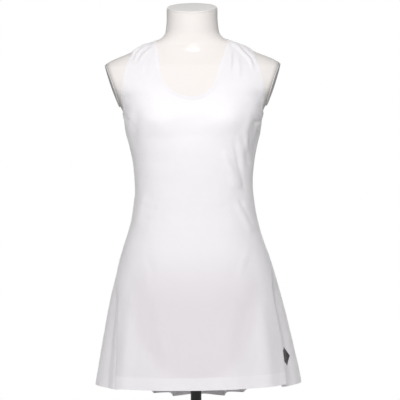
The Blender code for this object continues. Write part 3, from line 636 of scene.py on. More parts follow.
def dress_rows():
    """The dress's sections, carried on over the form's shoulders."""
    upper = []
    for row in FORM_SECTIONS:
        if row.height > DRESS_ON_FORM:
            loose = CHEST_LOOSE * ease((CHEST_TOP - row.height) / (CHEST_TOP - DRESS_ON_FORM))
            front, back = (depth + CLOTH_LIFT + loose for depth in (row.front, row.back))
            upper.append(row._replace(side=row.side + CLOTH_LIFT, front=front, back=back))
    return DRESS_SECTIONS + upper


FORM = Torso(FORM_SECTIONS, FORM_CUP)
DRESS = Torso(dress_rows(), DRESS_CUP)


def surface_tree(point_at, low, high, rows, columns):
    """A fine skin for laying cloth on."""
    points = []
    for i in range(rows + 1):
        height = blend(low, high, i / rows)
        for j in range(columns):
            points.append(point_at(height, math.tau * j / columns))
    faces = []
    for i in range(rows):
        for j in range(columns):
            k = (j + 1) % columns
            a, b = i * columns + j, i * columns + k
            faces.append((a, b, b + columns, a + columns))
    return BVHTree.FromPolygons(points, faces)


def off_form(point, gap):
    """The point, or its nearest place that is clear of the form by the gap."""
    spot, normal, _, _ = FORM_SKIN.find_nearest(point)
    if (point - spot).dot(normal) < gap:
        return spot + normal * gap
    return point


def dress_point(height, angle):
    point = DRESS.point(height, angle)
    if height > FORM_BOTTOM:
        point = off_form(point, CLOTH_LIFT)
    return point


FORM_SKIN = surface_tree(FORM.point, FORM_BOTTOM, FORM_TOP, *FORM_SKIN_GRID)
DRESS_SKIN = surface_tree(dress_point, *DRESS_SKIN_SPAN, *DRESS_SKIN_GRID)


# Opening edges that the cloth lies close by, each with how closely
HUGGED = []


def settled(point):
    """Near the neck and the armholes the cloth lies close to the form."""
    share = 0.0
    for edge, closeness in HUGGED:
        _, _, away = edge.find(point)
        share = max(share, closeness * (1.0 - ease(away / HUG_REACH)))
    if share == 0.0:
        return point
    spot, _, _, gap = FORM_SKIN.find_nearest(point)
    return point.lerp(spot, share * max(gap - SKIN_GAP, 0.0) / max(gap, 1e-6))


def edge_tree(points):
    tree = KDTree(len(points))
    for i, point in enumerate(points):
        tree.insert(point, i)
    tree.balance()
    return tree


def on_dress(point):
    spot, normal, _, _ = DRESS_SKIN.find_nearest(point)
    return spot, normal


def off_body(point):
    """The way that cloth at this point faces."""
    if point.z > SKIN_FACES_FROM:
        return on_dress(point)[1]
    return Vector((point.x, point.y, 0.0)).normalized()


# Cloth walls


class Sheet:
    """The middle surface of a piece of cloth, built up from grids that share points."""

    def __init__(self):
        self.points = []
        self.set_normals = {}
        self.faces = []
        self.known = {}

    def index(self, point):
        key = tuple(round(c * 1e6) for c in point)
        if key not in self.known:
            self.known[key] = len(self.points)
            self.points.append(Vector(point))
        return self.known[key]

    def add_grid(self, rows, closed=False, toward=None):
        """Joins rows of points; its faces look toward the given way, or else off the body."""
        corner_rows = [[self.index(p) for p in row] for row in rows]
        if closed:
            corner_rows.append(corner_rows[0])
        faces = []
        for lower, upper in zip(corner_rows, corner_rows[1:]):
            for j in range(len(lower) - 1):
                corners = [lower[j], lower[j + 1], upper[j + 1], upper[j]]
                face = [c for i, c in enumerate(corners) if c != corners[i - 1]]
                if len(face) > 2:
                    faces.append(face)
        agreed = 0.0
        for face in faces:
            middle = sum((self.points[c] for c in face), Vector((0.0, 0.0, 0.0))) / len(face)
            agreed += self.tilt(face).dot(toward if toward else off_body(middle))
        self.faces += faces if agreed > 0.0 else [face[::-1] for face in faces]

    def tilt(self, face):
        """The face's normal, as long as twice its area."""
        first, second = self.points[face[0]], self.points[face[1]]
        third, last = self.points[face[2]], self.points[face[-1]]
        if len(face) == 3:
            return (second - first).cross(third - first)
        return (third - first).cross(last - second)

    def set_normal(self, point, normal):
        self.set_normals[self.index(point)] = normal

    def face_off_dress(self, rows):
        for row in rows:
            for point in row:
                self.set_normal(point, on_dress(point)[1])

    def normals(self):
        sums = [Vector((0.0, 0.0, 0.0)) for _ in self.points]
        for face in self.faces:
            tilt = self.tilt(face)
            for corner in face:
                sums[corner] += tilt
        normals = [total.normalized() for total in sums]
        for corner, normal in self.set_normals.items():
            normals[corner] = normal
        return normals

    def shape(self, relief):
        """Moves each point in or out by the relief, and keeps it off the form."""
        moved = []
        for point, normal in zip(self.points, self.normals()):
            place = settled(point) + normal * relief(point, normal)
            moved.append(off_form(place, SKIN_GAP))
        self.points = moved
        self.set_normals = {}

    def shell(self, name, thick, finish, thick_at=None):
        """A closed thin wall, half its thickness to each side of the middle surface."""
        normals = self.normals()
        count = len(self.points)
        halves = [(thick_at(p) if thick_at else thick) / 2.0 for p in self.points]
        outer = [p + n * h for p, n, h in zip(self.points, normals, halves)]
        inner = [p - n * thick / 2.0 for p, n in zip(self.points, normals)]
        faces = [list(face) for face in self.faces]
        faces += [[c + count for c in reversed(face)] for face in self.faces]
        edges = set()
        for face in self.faces:
            for i, corner in enumerate(face):
                edges.add((face[i - 1], corner))
        for start, end in sorted(edges):
            if (end, start) not in edges:
                faces.append([end, start, start + count, end + count])
        mesh = bpy.data.meshes.new(name)
        mesh.from_pydata([tuple(p) for p in outer + inner], [], faces)
        mesh.validate()
        return add_piece(name, mesh, finish)


# Opening edges


def smooth_path(controls, count):
    """Points on a smooth curve through the controls, closer together towards its end."""
    ends = [controls[0] * 2.0 - controls[1], controls[-1] * 2.0 - controls[-2]]
    knots = [ends[0]] + controls + [ends[1]]
    fine = []
    for i in range(1, len(knots) - 2):
        p0, p1, p2, p3 = knots[i - 1 : i + 3]
        square = p0 * 2.0 - p1 * 5.0 + p2 * 4.0 - p3
        cube = p1 * 3.0 - p0 - p2 * 3.0 + p3
        for step in range(PATH_FINE):
            t = step / PATH_FINE
            fine.append(0.5 * (p1 * 2.0 + (p2 - p0) * t + square * t**2 + cube * t**3))
    fine.append(controls[-1])
    lengths = [0.0]
    for a, b in zip(fine, fine[1:]):
        lengths.append(lengths[-1] + (b - a).length)
    path = []
    i = 0
    for k in range(count + 1):
        target = lengths[-1] * (1.0 - (1.0 - k / count) ** CREST_GATHER)
        while i < len(lengths) - 2 and lengths[i + 1] < target:
            i += 1
        span = lengths[i + 1] - lengths[i]
        path.append(fine[i].lerp(fine[i + 1], (target - lengths[i]) / span))
    return path


def on_section(edge, facing):
    """A point given as seen from the front (-1) or the back (+1), laid on the dress."""
    row = DRESS.section(edge.height)
    depth = row.front if facing < 0 else row.back
    inside = max(0.0, 1.0 - (abs(edge.across) / row.side) ** row.square)
    y = row.lean + facing * depth * inside ** (1.0 / row.square)
    if facing < 0:
        y -= DRESS.cup * cup_shape(edge.across, edge.height)
    return on_dress(Vector((edge.across, y, edge.height)))[0]


def edge_path(edges, facing, count, mirrored=1.0):
    """The first and last points lie on the middle or side planes, the rest in front or behind."""
    last = len(edges) - 1
    controls = []
    for i, edge in enumerate(edges):
        placed = edge._replace(across=edge.across * mirrored)
        at_crest = i == last
        if at_crest or (i == 0 and abs(edge.across) > SIDE_BEYOND):
            middle = Vector((placed.across, DRESS.middle.at(edge.height), edge.height))
            controls.append(on_dress(middle)[0])
        else:
            controls.append(on_section(placed, facing))
    return smooth_path(controls, count)


def band_rows(loop, inside, widths):
    """For each point of a closed edge, points on the dress at the widths away from the opening."""
    rows = []
    count = len(loop)
    for i, point in enumerate(loop):
        along = (loop[(i + 1) % count] - loop[i - 1]).normalized()
        spot, normal = on_dress(point)
        away = along.cross(normal).normalized()
        if away.dot(inside - spot) > 0.0:
            away.negate()
        rows.append([on_dress(spot + away * width)[0] for width in widths])
    return rows


class Opening:
    """An edge loop, its band's points and the sewn edge of the panels next to it."""

    def __init__(self, quarters, inside, width):
        self.loop = [point for path in quarters for point in path[:-1]]
        widths = [width * i / BAND_COLUMNS for i in range(BAND_COLUMNS + 1)]
        self.band = band_rows(self.loop, inside, widths)
        self.edge = [row[0] for row in band_rows(self.loop, inside, [width + BAND_SEAM])]

    def run(self, start, end):
        """Sewn-edge points from one place in the loop to another."""
        step = 1 if end > start else -1
        count = len(self.loop)
        return [self.edge[i % count] for i in range(start, end + step, step)]


def neck_opening():
    front = YOKE_ROWS - CENTRE_ROWS_FRONT
    back = YOKE_ROWS - CENTRE_ROWS_BACK
    front_right = edge_path(NECK_FRONT_RIGHT, -1, front)
    front_left = edge_path(NECK_FRONT_LEFT, -1, front)
    back_right = edge_path(NECK_BACK, 1, back)
    back_left = edge_path(NECK_BACK, 1, back, -1.0)
    front_left[0] = front_right[0]
    back_left[0] = back_right[0]
    back_right[-1], back_left[-1] = front_right[-1], front_left[-1]
    quarters = [front_right, back_right[::-1], back_left, front_left[::-1]]
    return Opening(quarters, NECK_INSIDE, NECK_BAND_WIDTH)


def arm_opening(side):
    rows = YOKE_ROWS - SEAM_ROWS
    front = edge_path(ARMHOLE_FRONT, -1, rows, side)
    back = edge_path(ARMHOLE_BACK, 1, rows, side)
    back[0], back[-1] = front[0], front[-1]
    return Opening([front, back[::-1]], ARM_INSIDE * Vector((side, 1.0, 1.0)), ARM_BAND_WIDTH)


# Creases, each along a line seen from the front or the back

Crease = namedtuple("Crease", "high wide line")
FRONT_CREASES = table(Crease, [
    (0.0050, 0.0036, ((-0.100, 0.990), (-0.120, 0.980), (-0.134, 0.969), (-0.142, 0.950))),
    (0.0044, 0.0034, ((-0.100, 0.982), (-0.116, 0.974), (-0.127, 0.962), (-0.134, 0.944))),
    (0.0026, 0.0036, ((-0.090, 0.976), (-0.104, 0.967), (-0.117, 0.953), (-0.124, 0.936))),
    (0.0020, 0.0070, ((-0.101, 0.992), (-0.121, 0.984), (-0.138, 0.966))),
    (0.0054, 0.0040, ((0.086, 0.992), (0.105, 0.975), (0.131, 0.945), (0.141, 0.915))),
    (0.0034, 0.0075, ((0.103, 0.988), (0.124, 0.975), (0.139, 0.952), (0.147, 0.925))),
    (0.0022, 0.0045, ((0.0900, 0.968), (0.0880, 0.940), (0.0850, 0.905))),
    (0.0018, 0.0050, ((0.104, 0.952), (0.107, 0.925), (0.104, 0.895))),
    (-0.0014, 0.0045, ((0.0965, 0.970), (0.0940, 0.941), (0.0900, 0.905))),
    (-0.0012, 0.0050, ((-0.101, 0.955), (-0.106, 0.925), (-0.104, 0.895))),
    (-0.0042, 0.0044, ((0.180, 0.813), (0.164, 0.808), (0.150, 0.801), (0.138, 0.797))),
    (0.0009, 0.0040, ((0.176, 0.799), (0.163, 0.794), (0.150, 0.790))),
    (-0.0036, 0.0042, ((0.178, 0.790), (0.163, 0.784), (0.148, 0.779))),
    (-0.0050, 0.0120, ((0.168, 0.806), (0.160, 0.775), (0.152, 0.740), (0.146, 0.700))),
    (-0.0014, 0.0045, ((-0.164, 0.826), (-0.150, 0.808), (-0.137, 0.798))),
    (-0.0072, 0.0140, ((0.1540, 0.830), (0.1460, 0.796), (0.1400, 0.758), (0.1350, 0.705))),
    (0.0022, 0.0090, ((0.1340, 0.822), (0.1240, 0.790), (0.1190, 0.750), (0.1150, 0.712))),
    (-0.0020, 0.0045, ((0.1250, 0.788), (0.1290, 0.766), (0.1330, 0.742))),
    (-0.0020, 0.0060, ((0.1106, 0.774), (0.1149, 0.752), (0.1225, 0.722), (0.1330, 0.680))),
    (0.0015, 0.0065, ((0.1020, 0.776), (0.1060, 0.745), (0.1110, 0.715), (0.1180, 0.680))),
    (-0.0014, 0.0040, ((0.0946, 0.758), (0.0985, 0.725), (0.1052, 0.688))),
    (-0.0024, 0.0095, ((-0.1264, 0.832), (-0.1330, 0.790), (-0.1364, 0.736))),
    (-0.0018, 0.0042, ((0.088, 0.768), (0.099, 0.722), (0.110, 0.676), (0.119, 0.630))),
    (0.0012, 0.0060, ((0.080, 0.762), (0.091, 0.718), (0.102, 0.672), (0.110, 0.632))),
    (0.0020, 0.0110, ((0.062, 0.742), (0.082, 0.695), (0.101, 0.642))),
    (-0.0016, 0.0070, ((0.078, 0.745), (0.094, 0.700), (0.108, 0.660))),
    (-0.0030, 0.0055, ((0.100, 0.630), (0.118, 0.598), (0.132, 0.570), (0.141, 0.545))),
    (0.0022, 0.0070, ((0.092, 0.622), (0.108, 0.590), (0.122, 0.562), (0.130, 0.535))),
    (-0.0008, 0.0050, ((-0.122, 0.6117), (-0.100, 0.606), (-0.077, 0.600))),
    (-0.0012, 0.0040, ((-0.118, 0.5845), (-0.102, 0.580), (-0.086, 0.578))),
    (-0.0012, 0.0045, ((0.080, 0.612), (0.062, 0.606), (0.040, 0.605))),
    (-0.0007, 0.0120,
     ((-0.108, 0.775), (-0.060, 0.766), (0.0, 0.771), (0.060, 0.766), (0.104, 0.775))),
    (0.0016, 0.0110, ((-0.060, 0.812), (-0.020, 0.820), (0.020, 0.820), (0.060, 0.812))),
    (-0.0014, 0.0080, ((-0.034, 0.845), (-0.058, 0.825), (-0.070, 0.800))),
    (-0.0014, 0.0080, ((0.034, 0.845), (0.056, 0.825), (0.068, 0.800))),
    (0.0016, 0.0130, ((-0.140, 0.440), (-0.150, 0.350), (-0.160, 0.260), (-0.168, 0.170))),
    (-0.0016, 0.0150, ((-0.120, 0.420), (-0.104, 0.340), (-0.088, 0.270), (-0.074, 0.232))),
    (0.0016, 0.0130, ((0.142, 0.430), (0.154, 0.350), (0.165, 0.260), (0.174, 0.170))),
    (-0.0016, 0.0150, ((0.122, 0.410), (0.106, 0.335), (0.084, 0.270), (0.062, 0.236))),
    (-0.0012, 0.0160, ((-0.052, 0.330), (-0.046, 0.270), (-0.044, 0.170))),
    (0.0012, 0.0170, ((-0.010, 0.320), (-0.006, 0.260), (-0.004, 0.170))),
    (-0.0010, 0.0080, ((-0.118, 0.505), (-0.100, 0.480), (-0.092, 0.440))),
    (0.0014, 0.0080, ((0.128, 0.520), (0.112, 0.486), (0.104, 0.446))),
])
BACK_CREASES = table(Crease, [
    (-0.0022, 0.0055, ((0.104, 0.850), (0.078, 0.830), (0.045, 0.820))),
    (-0.0022, 0.0055, ((-0.106, 0.846), (-0.082, 0.824), (-0.050, 0.812))),
    (-0.0018, 0.0050, ((0.112, 0.822), (0.088, 0.800), (0.060, 0.788))),
    (-0.0016, 0.0050, ((-0.114, 0.818), (-0.092, 0.794), (-0.066, 0.784))),
    (-0.0014, 0.0050, ((0.090, 0.965), (0.092, 0.930), (0.086, 0.895))),
    (-0.0014, 0.0050, ((-0.092, 0.962), (-0.094, 0.930), (-0.089, 0.900))),
    (-0.0030, 0.0070, ((0.112, 0.668), (0.070, 0.655), (0.020, 0.652), (-0.030, 0.660))),
    (0.0024, 0.0080, ((0.112, 0.652), (0.070, 0.639), (0.020, 0.636), (-0.030, 0.643))),
    (-0.0028, 0.0070, ((-0.110, 0.640), (-0.070, 0.628), (-0.020, 0.620), (0.040, 0.626))),
    (0.0022, 0.0080, ((-0.110, 0.624), (-0.070, 0.612), (-0.020, 0.604), (0.040, 0.610))),
    (-0.0022, 0.0065, ((0.104, 0.606), (0.070, 0.590), (0.030, 0.582))),
    (-0.0020, 0.0065, ((-0.100, 0.590), (-0.066, 0.576), (-0.024, 0.570))),
    (-0.0018, 0.0090, ((0.060, 0.750), (0.052, 0.712), (0.058, 0.672))),
    (-0.0018, 0.0090, ((-0.058, 0.752), (-0.050, 0.716), (-0.055, 0.680))),
])
CREASE_REACH = 3.2
CREASE_BANK = 0.3
CREASE_START = 4.0
CREASE_END = 3.0
CREASE_AT_ENDS = 0.05
SEAM_DIP = 0.0009
SEAM_REACH = 0.0040
UNEVEN_HIGH = 0.0011
UNEVEN_SIZE = 0.055
SMALL_HIGH = 0.00035
SMALL_SIZE = 0.014
PUCKER_HIGH = 0.0008
PUCKER_REACH = 0.030
PUCKERS = 46.0
SIDE_START = 0.002
SIDE_FADE = 0.030
SMOOTH_FROM = 0.86
SMOOTH_OVER = 0.10
SMOOTH_SHARE = 0.55
SKIRT_SHARE = 0.9


def prepared(creases):
    """Each crease with its line as vectors, their lengths and a box that holds it."""
    ready = []
    for crease in creases:
        line = [Vector(place) for place in crease.line]
        runs = [(b - a).length for a, b in zip(line, line[1:])]
        reach = crease.wide * CREASE_REACH
        low = Vector((min(p.x for p in line) - reach, min(p.y for p in line) - reach))
        high = Vector((max(p.x for p in line) + reach, max(p.y for p in line) + reach))
        ready.append((crease, line, runs, low, high))
    return ready


def crease_height(x, z, ready):
    """All creases together: each has a soft middle and a faint bank of the other sign beside it."""
    here = Vector((x, z))
    total = 0.0
    for crease, line, runs, low, high in ready:
        if not (low.x < x < high.x and low.y < z < high.y):
            continue
        whole = sum(runs)
        best = None
        passed = 0.0
        for start, end, run in zip(line, line[1:], runs):
            t = min(max((here - start).dot(end - start) / run**2, 0.0), 1.0)
            gone = (here - start.lerp(end, t)).length
            if best is None or gone < best[0]:
                best = (gone, (passed + t * run) / whole)
            passed += run
        gone, place = best
        across = gone / crease.wide
        fade = ease(CREASE_START * place + CREASE_AT_ENDS)
        fade *= ease(CREASE_END * (1.0 - place) + CREASE_AT_ENDS)
        bank = CREASE_BANK * math.exp(-((across / 2.0) ** 2))
        total += crease.high * fade * (math.exp(-across**2) - bank)
    return total


def unevenness(point):
    broad = noise.noise(point / UNEVEN_SIZE)
    small = noise.noise(point / SMALL_SIZE + Vector((7.0, 3.0, 1.0)))
    return UNEVEN_HIGH * broad + SMALL_HIGH * small


def seam_dip(distance):
    """Cloth sinks a little towards a seam."""
    return -SEAM_DIP * (1.0 - ease(abs(distance) / SEAM_REACH))


def wrinkles(point, ready, depth):
    """Creases, which end before a side seam, and unevenness, which is less over the shoulders."""
    side = ease((depth - SIDE_START) / SIDE_FADE)
    loose = 1.0 - SMOOTH_SHARE * ease((point.z - SMOOTH_FROM) / SMOOTH_OVER)
    return crease_height(point.x, point.z, ready) * side + unevenness(point) * loose


def front_relief(point, _):
    if point.z <= SKIRT_SEAM:
        return wrinkles(point, FRONT_READY, math.inf)
    return wrinkles(point, FRONT_READY, -point.y) + seam_dip(point.y - DRESS.middle.at(point.z))


def back_relief(point, _):
    total = wrinkles(point, BACK_READY, point.y)
    total += seam_dip(point.y - DRESS.middle.at(point.z)) + seam_dip(point.z - SKIRT_SEAM)
    near = 1.0 - ease((point.z - SKIRT_SEAM) / PUCKER_REACH)
    return total + near * PUCKER_HIGH * math.sin(math.atan2(point.x, point.y) * PUCKERS)


def band_relief(point, normal):
    return wrinkles(point, FRONT_READY if normal.y < 0.0 else BACK_READY, abs(point.y))


def skirt_relief(point, _):
    return SKIRT_SHARE * unevenness(point) + seam_dip(point.z - SKIRT_SEAM)


FRONT_READY = prepared(FRONT_CREASES)
BACK_READY = prepared(BACK_CREASES)


# Panels


def side_angle(height, side):
    name = "left" if side < 0 else "right"
    return math.radians(FOLD_CURVES[name].at(height))


FOLD_CURVES = {name: Curve(SIDE_FOLDS, name) for name in ("left", "right")}


def soft_fold(x, z):
    """How far the broad folds push the front outwards."""
    total = 0.0
    for fold in SOFT_FOLDS:
        start = Vector((fold.from_x, fold.from_z))
        line = Vector((fold.to_x, fold.to_z)) - start
        t = (Vector((x, z)) - start).dot(line) / line.length_squared
        near = start + line * min(max(t, 0.0), 1.0)
        gone = (Vector((x, z)) - near).length / fold.wide
        fade = ease(0.25 + t) if fold.to_z <= FRONT_HEM else ease(4.0 * t) * ease(4.0 - 4.0 * t)
        total += fold.deep * fade * math.exp(-gone * gone)
    return total


def front_point(height, share):
    """share runs from -1 at the left edge to 1 at the right edge; the hem rises to the right."""
    if height < SKIRT_SEAM:
        height += HEM_RISE * max(share, 0.0) * (SKIRT_SEAM - height) / (SKIRT_SEAM - FRONT_HEM)
    angle = side_angle(height, share) * share
    point = dress_point(height, angle)
    return point + DRESS.outward(height, angle) * soft_fold(point.x, point.z)


def between(a, b, count):
    """Points on the dress that part the way from a to b into count steps."""
    return [on_dress(a.lerp(b, k / count))[0] for k in range(1, count)]


def add_yoke(sheet, base_row, neck_edge, arm_edge, centre_rows):
    """One half of a bodice above YOKE_BASE, from the centre and the neck edge to the arm edge."""
    first, last = base_row[0], base_row[-1]
    lifts = [point - first.lerp(last, j / HALF_COLUMNS) for j, point in enumerate(base_row)]
    inner_path = between(first, neck_edge[0], centre_rows) + neck_edge
    outer_path = between(last, arm_edge[0], SEAM_ROWS) + arm_edge
    rows = [base_row]
    for k, (inner, outer) in enumerate(zip(inner_path, outer_path), 1):
        inner_normal, outer_normal = on_dress(inner)[1], on_dress(outer)[1]
        free = ease(k / (YOKE_SETTLED * (len(inner_path) + 1)))
        row = [inner]
        for j in range(1, HALF_COLUMNS):
            t = j / HALF_COLUMNS
            push = inner_normal.lerp(outer_normal, t).normalized() * YOKE_PUSH
            row.append(on_dress(inner.lerp(outer, t) + lifts[j].lerp(push, free))[0])
        rows.append(row + [outer])
    sheet.add_grid(rows)
    sheet.face_off_dress(rows[1:])


def bodice_levels():
    return [blend(YOKE_BASE, SKIRT_SEAM, i / BODICE_ROWS) for i in range(BODICE_ROWS + 1)]


def skirt_levels():
    top_of_hem = FRONT_HEM + HEM_DEPTH
    upper = [blend(SKIRT_SEAM, top_of_hem, i / SKIRT_ROWS) for i in range(SKIRT_ROWS + 1)]
    return upper + [top_of_hem - HEM_STEP, FRONT_HEM]


def fold_amount(height):
    return ease((SKIRT_SEAM - height) / FOLD_GROWTH)


def past_edge(height, side):
    """The way along the ring past the front's side edge, towards the back."""
    out = DRESS.outward(height, side_angle(height, side) * side)
    return Vector((-out.y, out.x, 0.0)) * side


def fold_point(height, side, place):
    """A point of the turned-back edge, which opens out flat where the fold begins."""
    amount = fold_amount(height)
    flat = FOLD_SPREAD * place / FOLD_STEPS[-1].place
    out = DRESS.outward(height, side_angle(height, side) * side)
    along = blend(flat, FOLD_SHAPE["along"].at(place), amount)
    inward = FOLD_SHAPE["inward"].at(place) * amount
    return front_point(height, side) + past_edge(height, side) * along - out * inward


FOLD_SHAPE = {name: Curve(FOLD_STEPS, name) for name in ("along", "inward")}


def front_wall(point):
    """The front's thickness, which is more where the hem is turned up."""
    hem_top = FRONT_HEM + HEM_DEPTH + HEM_RISE * max(point.x, 0.0) / HEM_RISE_WIDE
    return HEM_CLOTH if point.z < hem_top - HEM_STEP / 2.0 else CLOTH


def build_front(neck, arms):
    sheet = Sheet()
    grid = []
    for height in bodice_levels() + skirt_levels()[1:]:
        shares = range(-HALF_COLUMNS, HALF_COLUMNS + 1)
        row = [front_point(height, j / HALF_COLUMNS) for j in shares]
        grid.append(row)
        if height >= SKIRT_SEAM:
            for point, side in ((row[0], -1.0), (row[-1], 1.0)):
                angle = side_angle(height, side) * side
                sheet.set_normal(point, DRESS.outward(height, angle))
    sheet.add_grid(grid)

    places = [k / FOLD_FINE for k in range(1, FOLD_FINE * int(FOLD_STEPS[-1].place) + 1)]
    for side in (-1.0, 1.0):
        rows = []
        for height in skirt_levels():
            turned = [fold_point(height, side, place) for place in places]
            rows.append([front_point(height, side)] + turned)
        sheet.add_grid(rows, toward=past_edge(FRONT_HEM, side))
        half = grid[0][HALF_COLUMNS :: int(side)]
        neck_edge = neck.run(0, int(side) * (YOKE_ROWS - CENTRE_ROWS_FRONT))
        arm_edge = arms[side].run(0, YOKE_ROWS - SEAM_ROWS)
        add_yoke(sheet, half, neck_edge, arm_edge, CENTRE_ROWS_FRONT)
    sheet.shape(front_relief)
    return sheet.shell("front_cloth", CLOTH, "front_jersey", front_wall)


def build_back(neck, arms):
    sheet = Sheet()
    columns = HALF_COLUMNS * 2
    angles = [math.pi * (0.5 + j / columns) for j in range(columns + 1)]
    grid = []
    for height in bodice_levels():
        row = [dress_point(height, angle) for angle in angles]
        grid.append(row)
        for end in (0, -1):
            sheet.set_normal(row[end], DRESS.outward(height, angles[end]))
    sheet.add_grid(grid)

    middle = 2 * YOKE_ROWS - CENTRE_ROWS_FRONT - CENTRE_ROWS_BACK
    for side in (-1.0, 1.0):
        half = grid[0][HALF_COLUMNS :: -int(side)]
        neck_edge = neck.run(middle, middle - int(side) * (YOKE_ROWS - CENTRE_ROWS_BACK))
        arm_edge = arms[side].run(0, SEAM_ROWS - YOKE_ROWS)
        add_yoke(sheet, half, neck_edge, arm_edge, CENTRE_ROWS_BACK)
    sheet.shape(back_relief)
    return sheet.shell("back_cloth", CLOTH, "white_jersey")


def build_band(name, opening):
    sheet = Sheet()
    rows = []
    for row in opening.band:
        laid = [on_dress(point) for point in row]
        rows.append([spot + normal * BAND_LIFT for spot, normal in laid])
    sheet.add_grid(rows, closed=True)
    sheet.face_off_dress(rows)
    sheet.shape(band_relief)
    return sheet.shell(name, BAND_CLOTH, "white_band")


def pleat_columns():
    """Angles past the side, and the share of the pleat depth, from one side to the other."""
    pitch = (math.pi - PLEATS_FROM) / len(PLEAT_UNEVEN)
    half = []
    for i, uneven in enumerate(PLEAT_UNEVEN):
        for step in PLEAT_PROFILE:
            angle = PLEATS_FROM + pitch * (i + step.along)
            deep = uneven * step.inward
            if i == 0:
                deep *= step.along**0.5
            half.append(Vector((angle, deep)))
    turned = [Vector((math.tau - place.x, place.y)) for place in reversed(half)]
    chain = half + [Vector((math.pi, PLEAT_UNEVEN[-1]))] + turned
    columns = []
    for i in range(len(chain) - 1):
        near = (chain[max(i - 1, 0)], chain[i], chain[i + 1], chain[min(i + 2, len(chain) - 1)])
        columns += [rounded(*near, step / PLEAT_FINE) for step in range(PLEAT_FINE)]
    return columns + [chain[-1]]


def rounded(p0, p1, p2, p3, t):
    """A point between p1 and p2 on a soft curve through all four."""
    start = (p2 - p0) * PLEAT_TENSION * (t * (1.0 - t) ** 2)
    end = (p3 - p1) * PLEAT_TENSION * (t * t * (t - 1.0))
    return blend(p1, p2, ease(t)) + start + end


def back_hem(angle):
    behind = 0.5 - 0.5 * math.cos(2.0 * (abs(angle - math.pi) - math.pi / 2.0))
    turned = 1.0 if abs(angle - math.pi) < math.pi / 2.0 else 0.0
    return SIDE_HEM - (SIDE_HEM - BACK_HEM) * behind**HEM_DIP * turned


def back_skirt_row(share):
    """One level of the back skirt, from the right side fold round to the left one."""
    last = FOLD_STEPS[-1]

    def side_part(side):
        level = blend(SKIRT_SEAM, SIDE_HEM, share)
        amount = fold_amount(level)
        clear = FOLD_CLEAR + HEM_CLOTH / 2.0 * ease(FOLD_CLEAR_GROWTH * amount)
        points = [fold_point(level, side, last.place) + past_edge(level, side) * clear]
        start_angle = side_angle(level, side) + FOLD_SPREAD_ANGLE * (1.0 - amount)
        for k in range(1, SIDE_COLUMNS):
            t = (k / SIDE_COLUMNS) ** SIDE_GATHER
            angle = blend(start_angle, PLEATS_FROM, t)
            ridge = ease(t / RIDGE_PLACE) * (1.0 - ease((t - RIDGE_PLACE) / RIDGE_FADE))
            inward = last.inward * amount * (1.0 - ease(FOLD_INWARD_FADE * t))
            inward -= RIDGE_HIGH[side] * amount * ridge
            place = DRESS.point(level, angle * side)
            place -= DRESS.outward(level, angle * side) * inward
            points.append(off_form(place, CLOTH_LIFT))
        return points

    row = side_part(1.0)
    for angle, deep in pleat_columns():
        level = blend(SKIRT_SEAM, back_hem(angle) + PLEAT_HEM_RISE * (deep - 0.5), share)
        inward = deep * blend(PLEAT_TOP_DEPTH, PLEAT_HEM_DEPTH, share**PLEAT_OPENS)
        place = DRESS.point(level, angle) - DRESS.outward(level, angle) * inward
        row.append(off_form(place, CLOTH_LIFT) if level > FORM_BOTTOM else place)
    return row + side_part(-1.0)[::-1]


def build_back_skirt():
    sheet = Sheet()
    sheet.add_grid([back_skirt_row(i / PLEAT_ROWS) for i in range(PLEAT_ROWS + 1)])
    sheet.shape(skirt_relief)
    return sheet.shell("skirt_cloth", CLOTH, "skirt_jersey")


# Dress form


def cut_plane(side):
    along = ARM_CUT_TOP - ARM_CUT_FOOT
    normal = Vector((along.z, 0.0, -along.x)).normalized()
    normal = Matrix.Rotation(-ARM_CUT_YAW, 3, "Z") @ normal
    mirror = Vector((side, 1.0, 1.0))
    return ARM_CUT_TOP * mirror, normal * mirror


def neck_plane():
    return NECK_CUT, Vector((0.0, -math.sin(NECK_CUT_TILT), math.cos(NECK_CUT_TILT)))


def skin_rings(bm, rings):
    """Joins rings of points, and closes the first and the last one."""
    rings = [[bm.verts.new(point) for point in ring] for ring in rings]
    for lower, upper in zip(rings, rings[1:]):
        for j, corner in enumerate(lower):
            k = (j + 1) % len(lower)
            bm.faces.new((corner, lower[k], upper[k], upper[j]))
    bm.faces.new(rings[0][::-1])
    bm.faces.new(rings[-1])


def mesh_of(name, bm):
    mesh = bpy.data.meshes.new(name)
    bm.to_mesh(mesh)
    bm.free()
    return mesh


def slice_off(bm, place, normal):
    """Cuts a shoulder or the neck flat and returns the cut's outline in order."""
    bm.verts.index_update()
    bm.edges.index_update()
    faces = [face for face in bm.faces if min(v.co.z for v in face.verts) > CUTS_ABOVE]
    edges = {edge for face in faces for edge in face.edges}
    verts = {vert for face in faces for vert in face.verts}
    upper = sorted(verts, key=lambda v: v.index) + sorted(edges, key=lambda e: e.index) + faces
    bmesh.ops.bisect_plane(
        bm, geom=upper, plane_co=place, plane_no=normal, clear_outer=True, dist=1e-6
    )
    rim = [edge for edge in bm.edges if edge.is_boundary]
    filled = bmesh.ops.holes_fill(bm, edges=rim, sides=0)
    return [vert.co.copy() for vert in filled["faces"][0].verts]


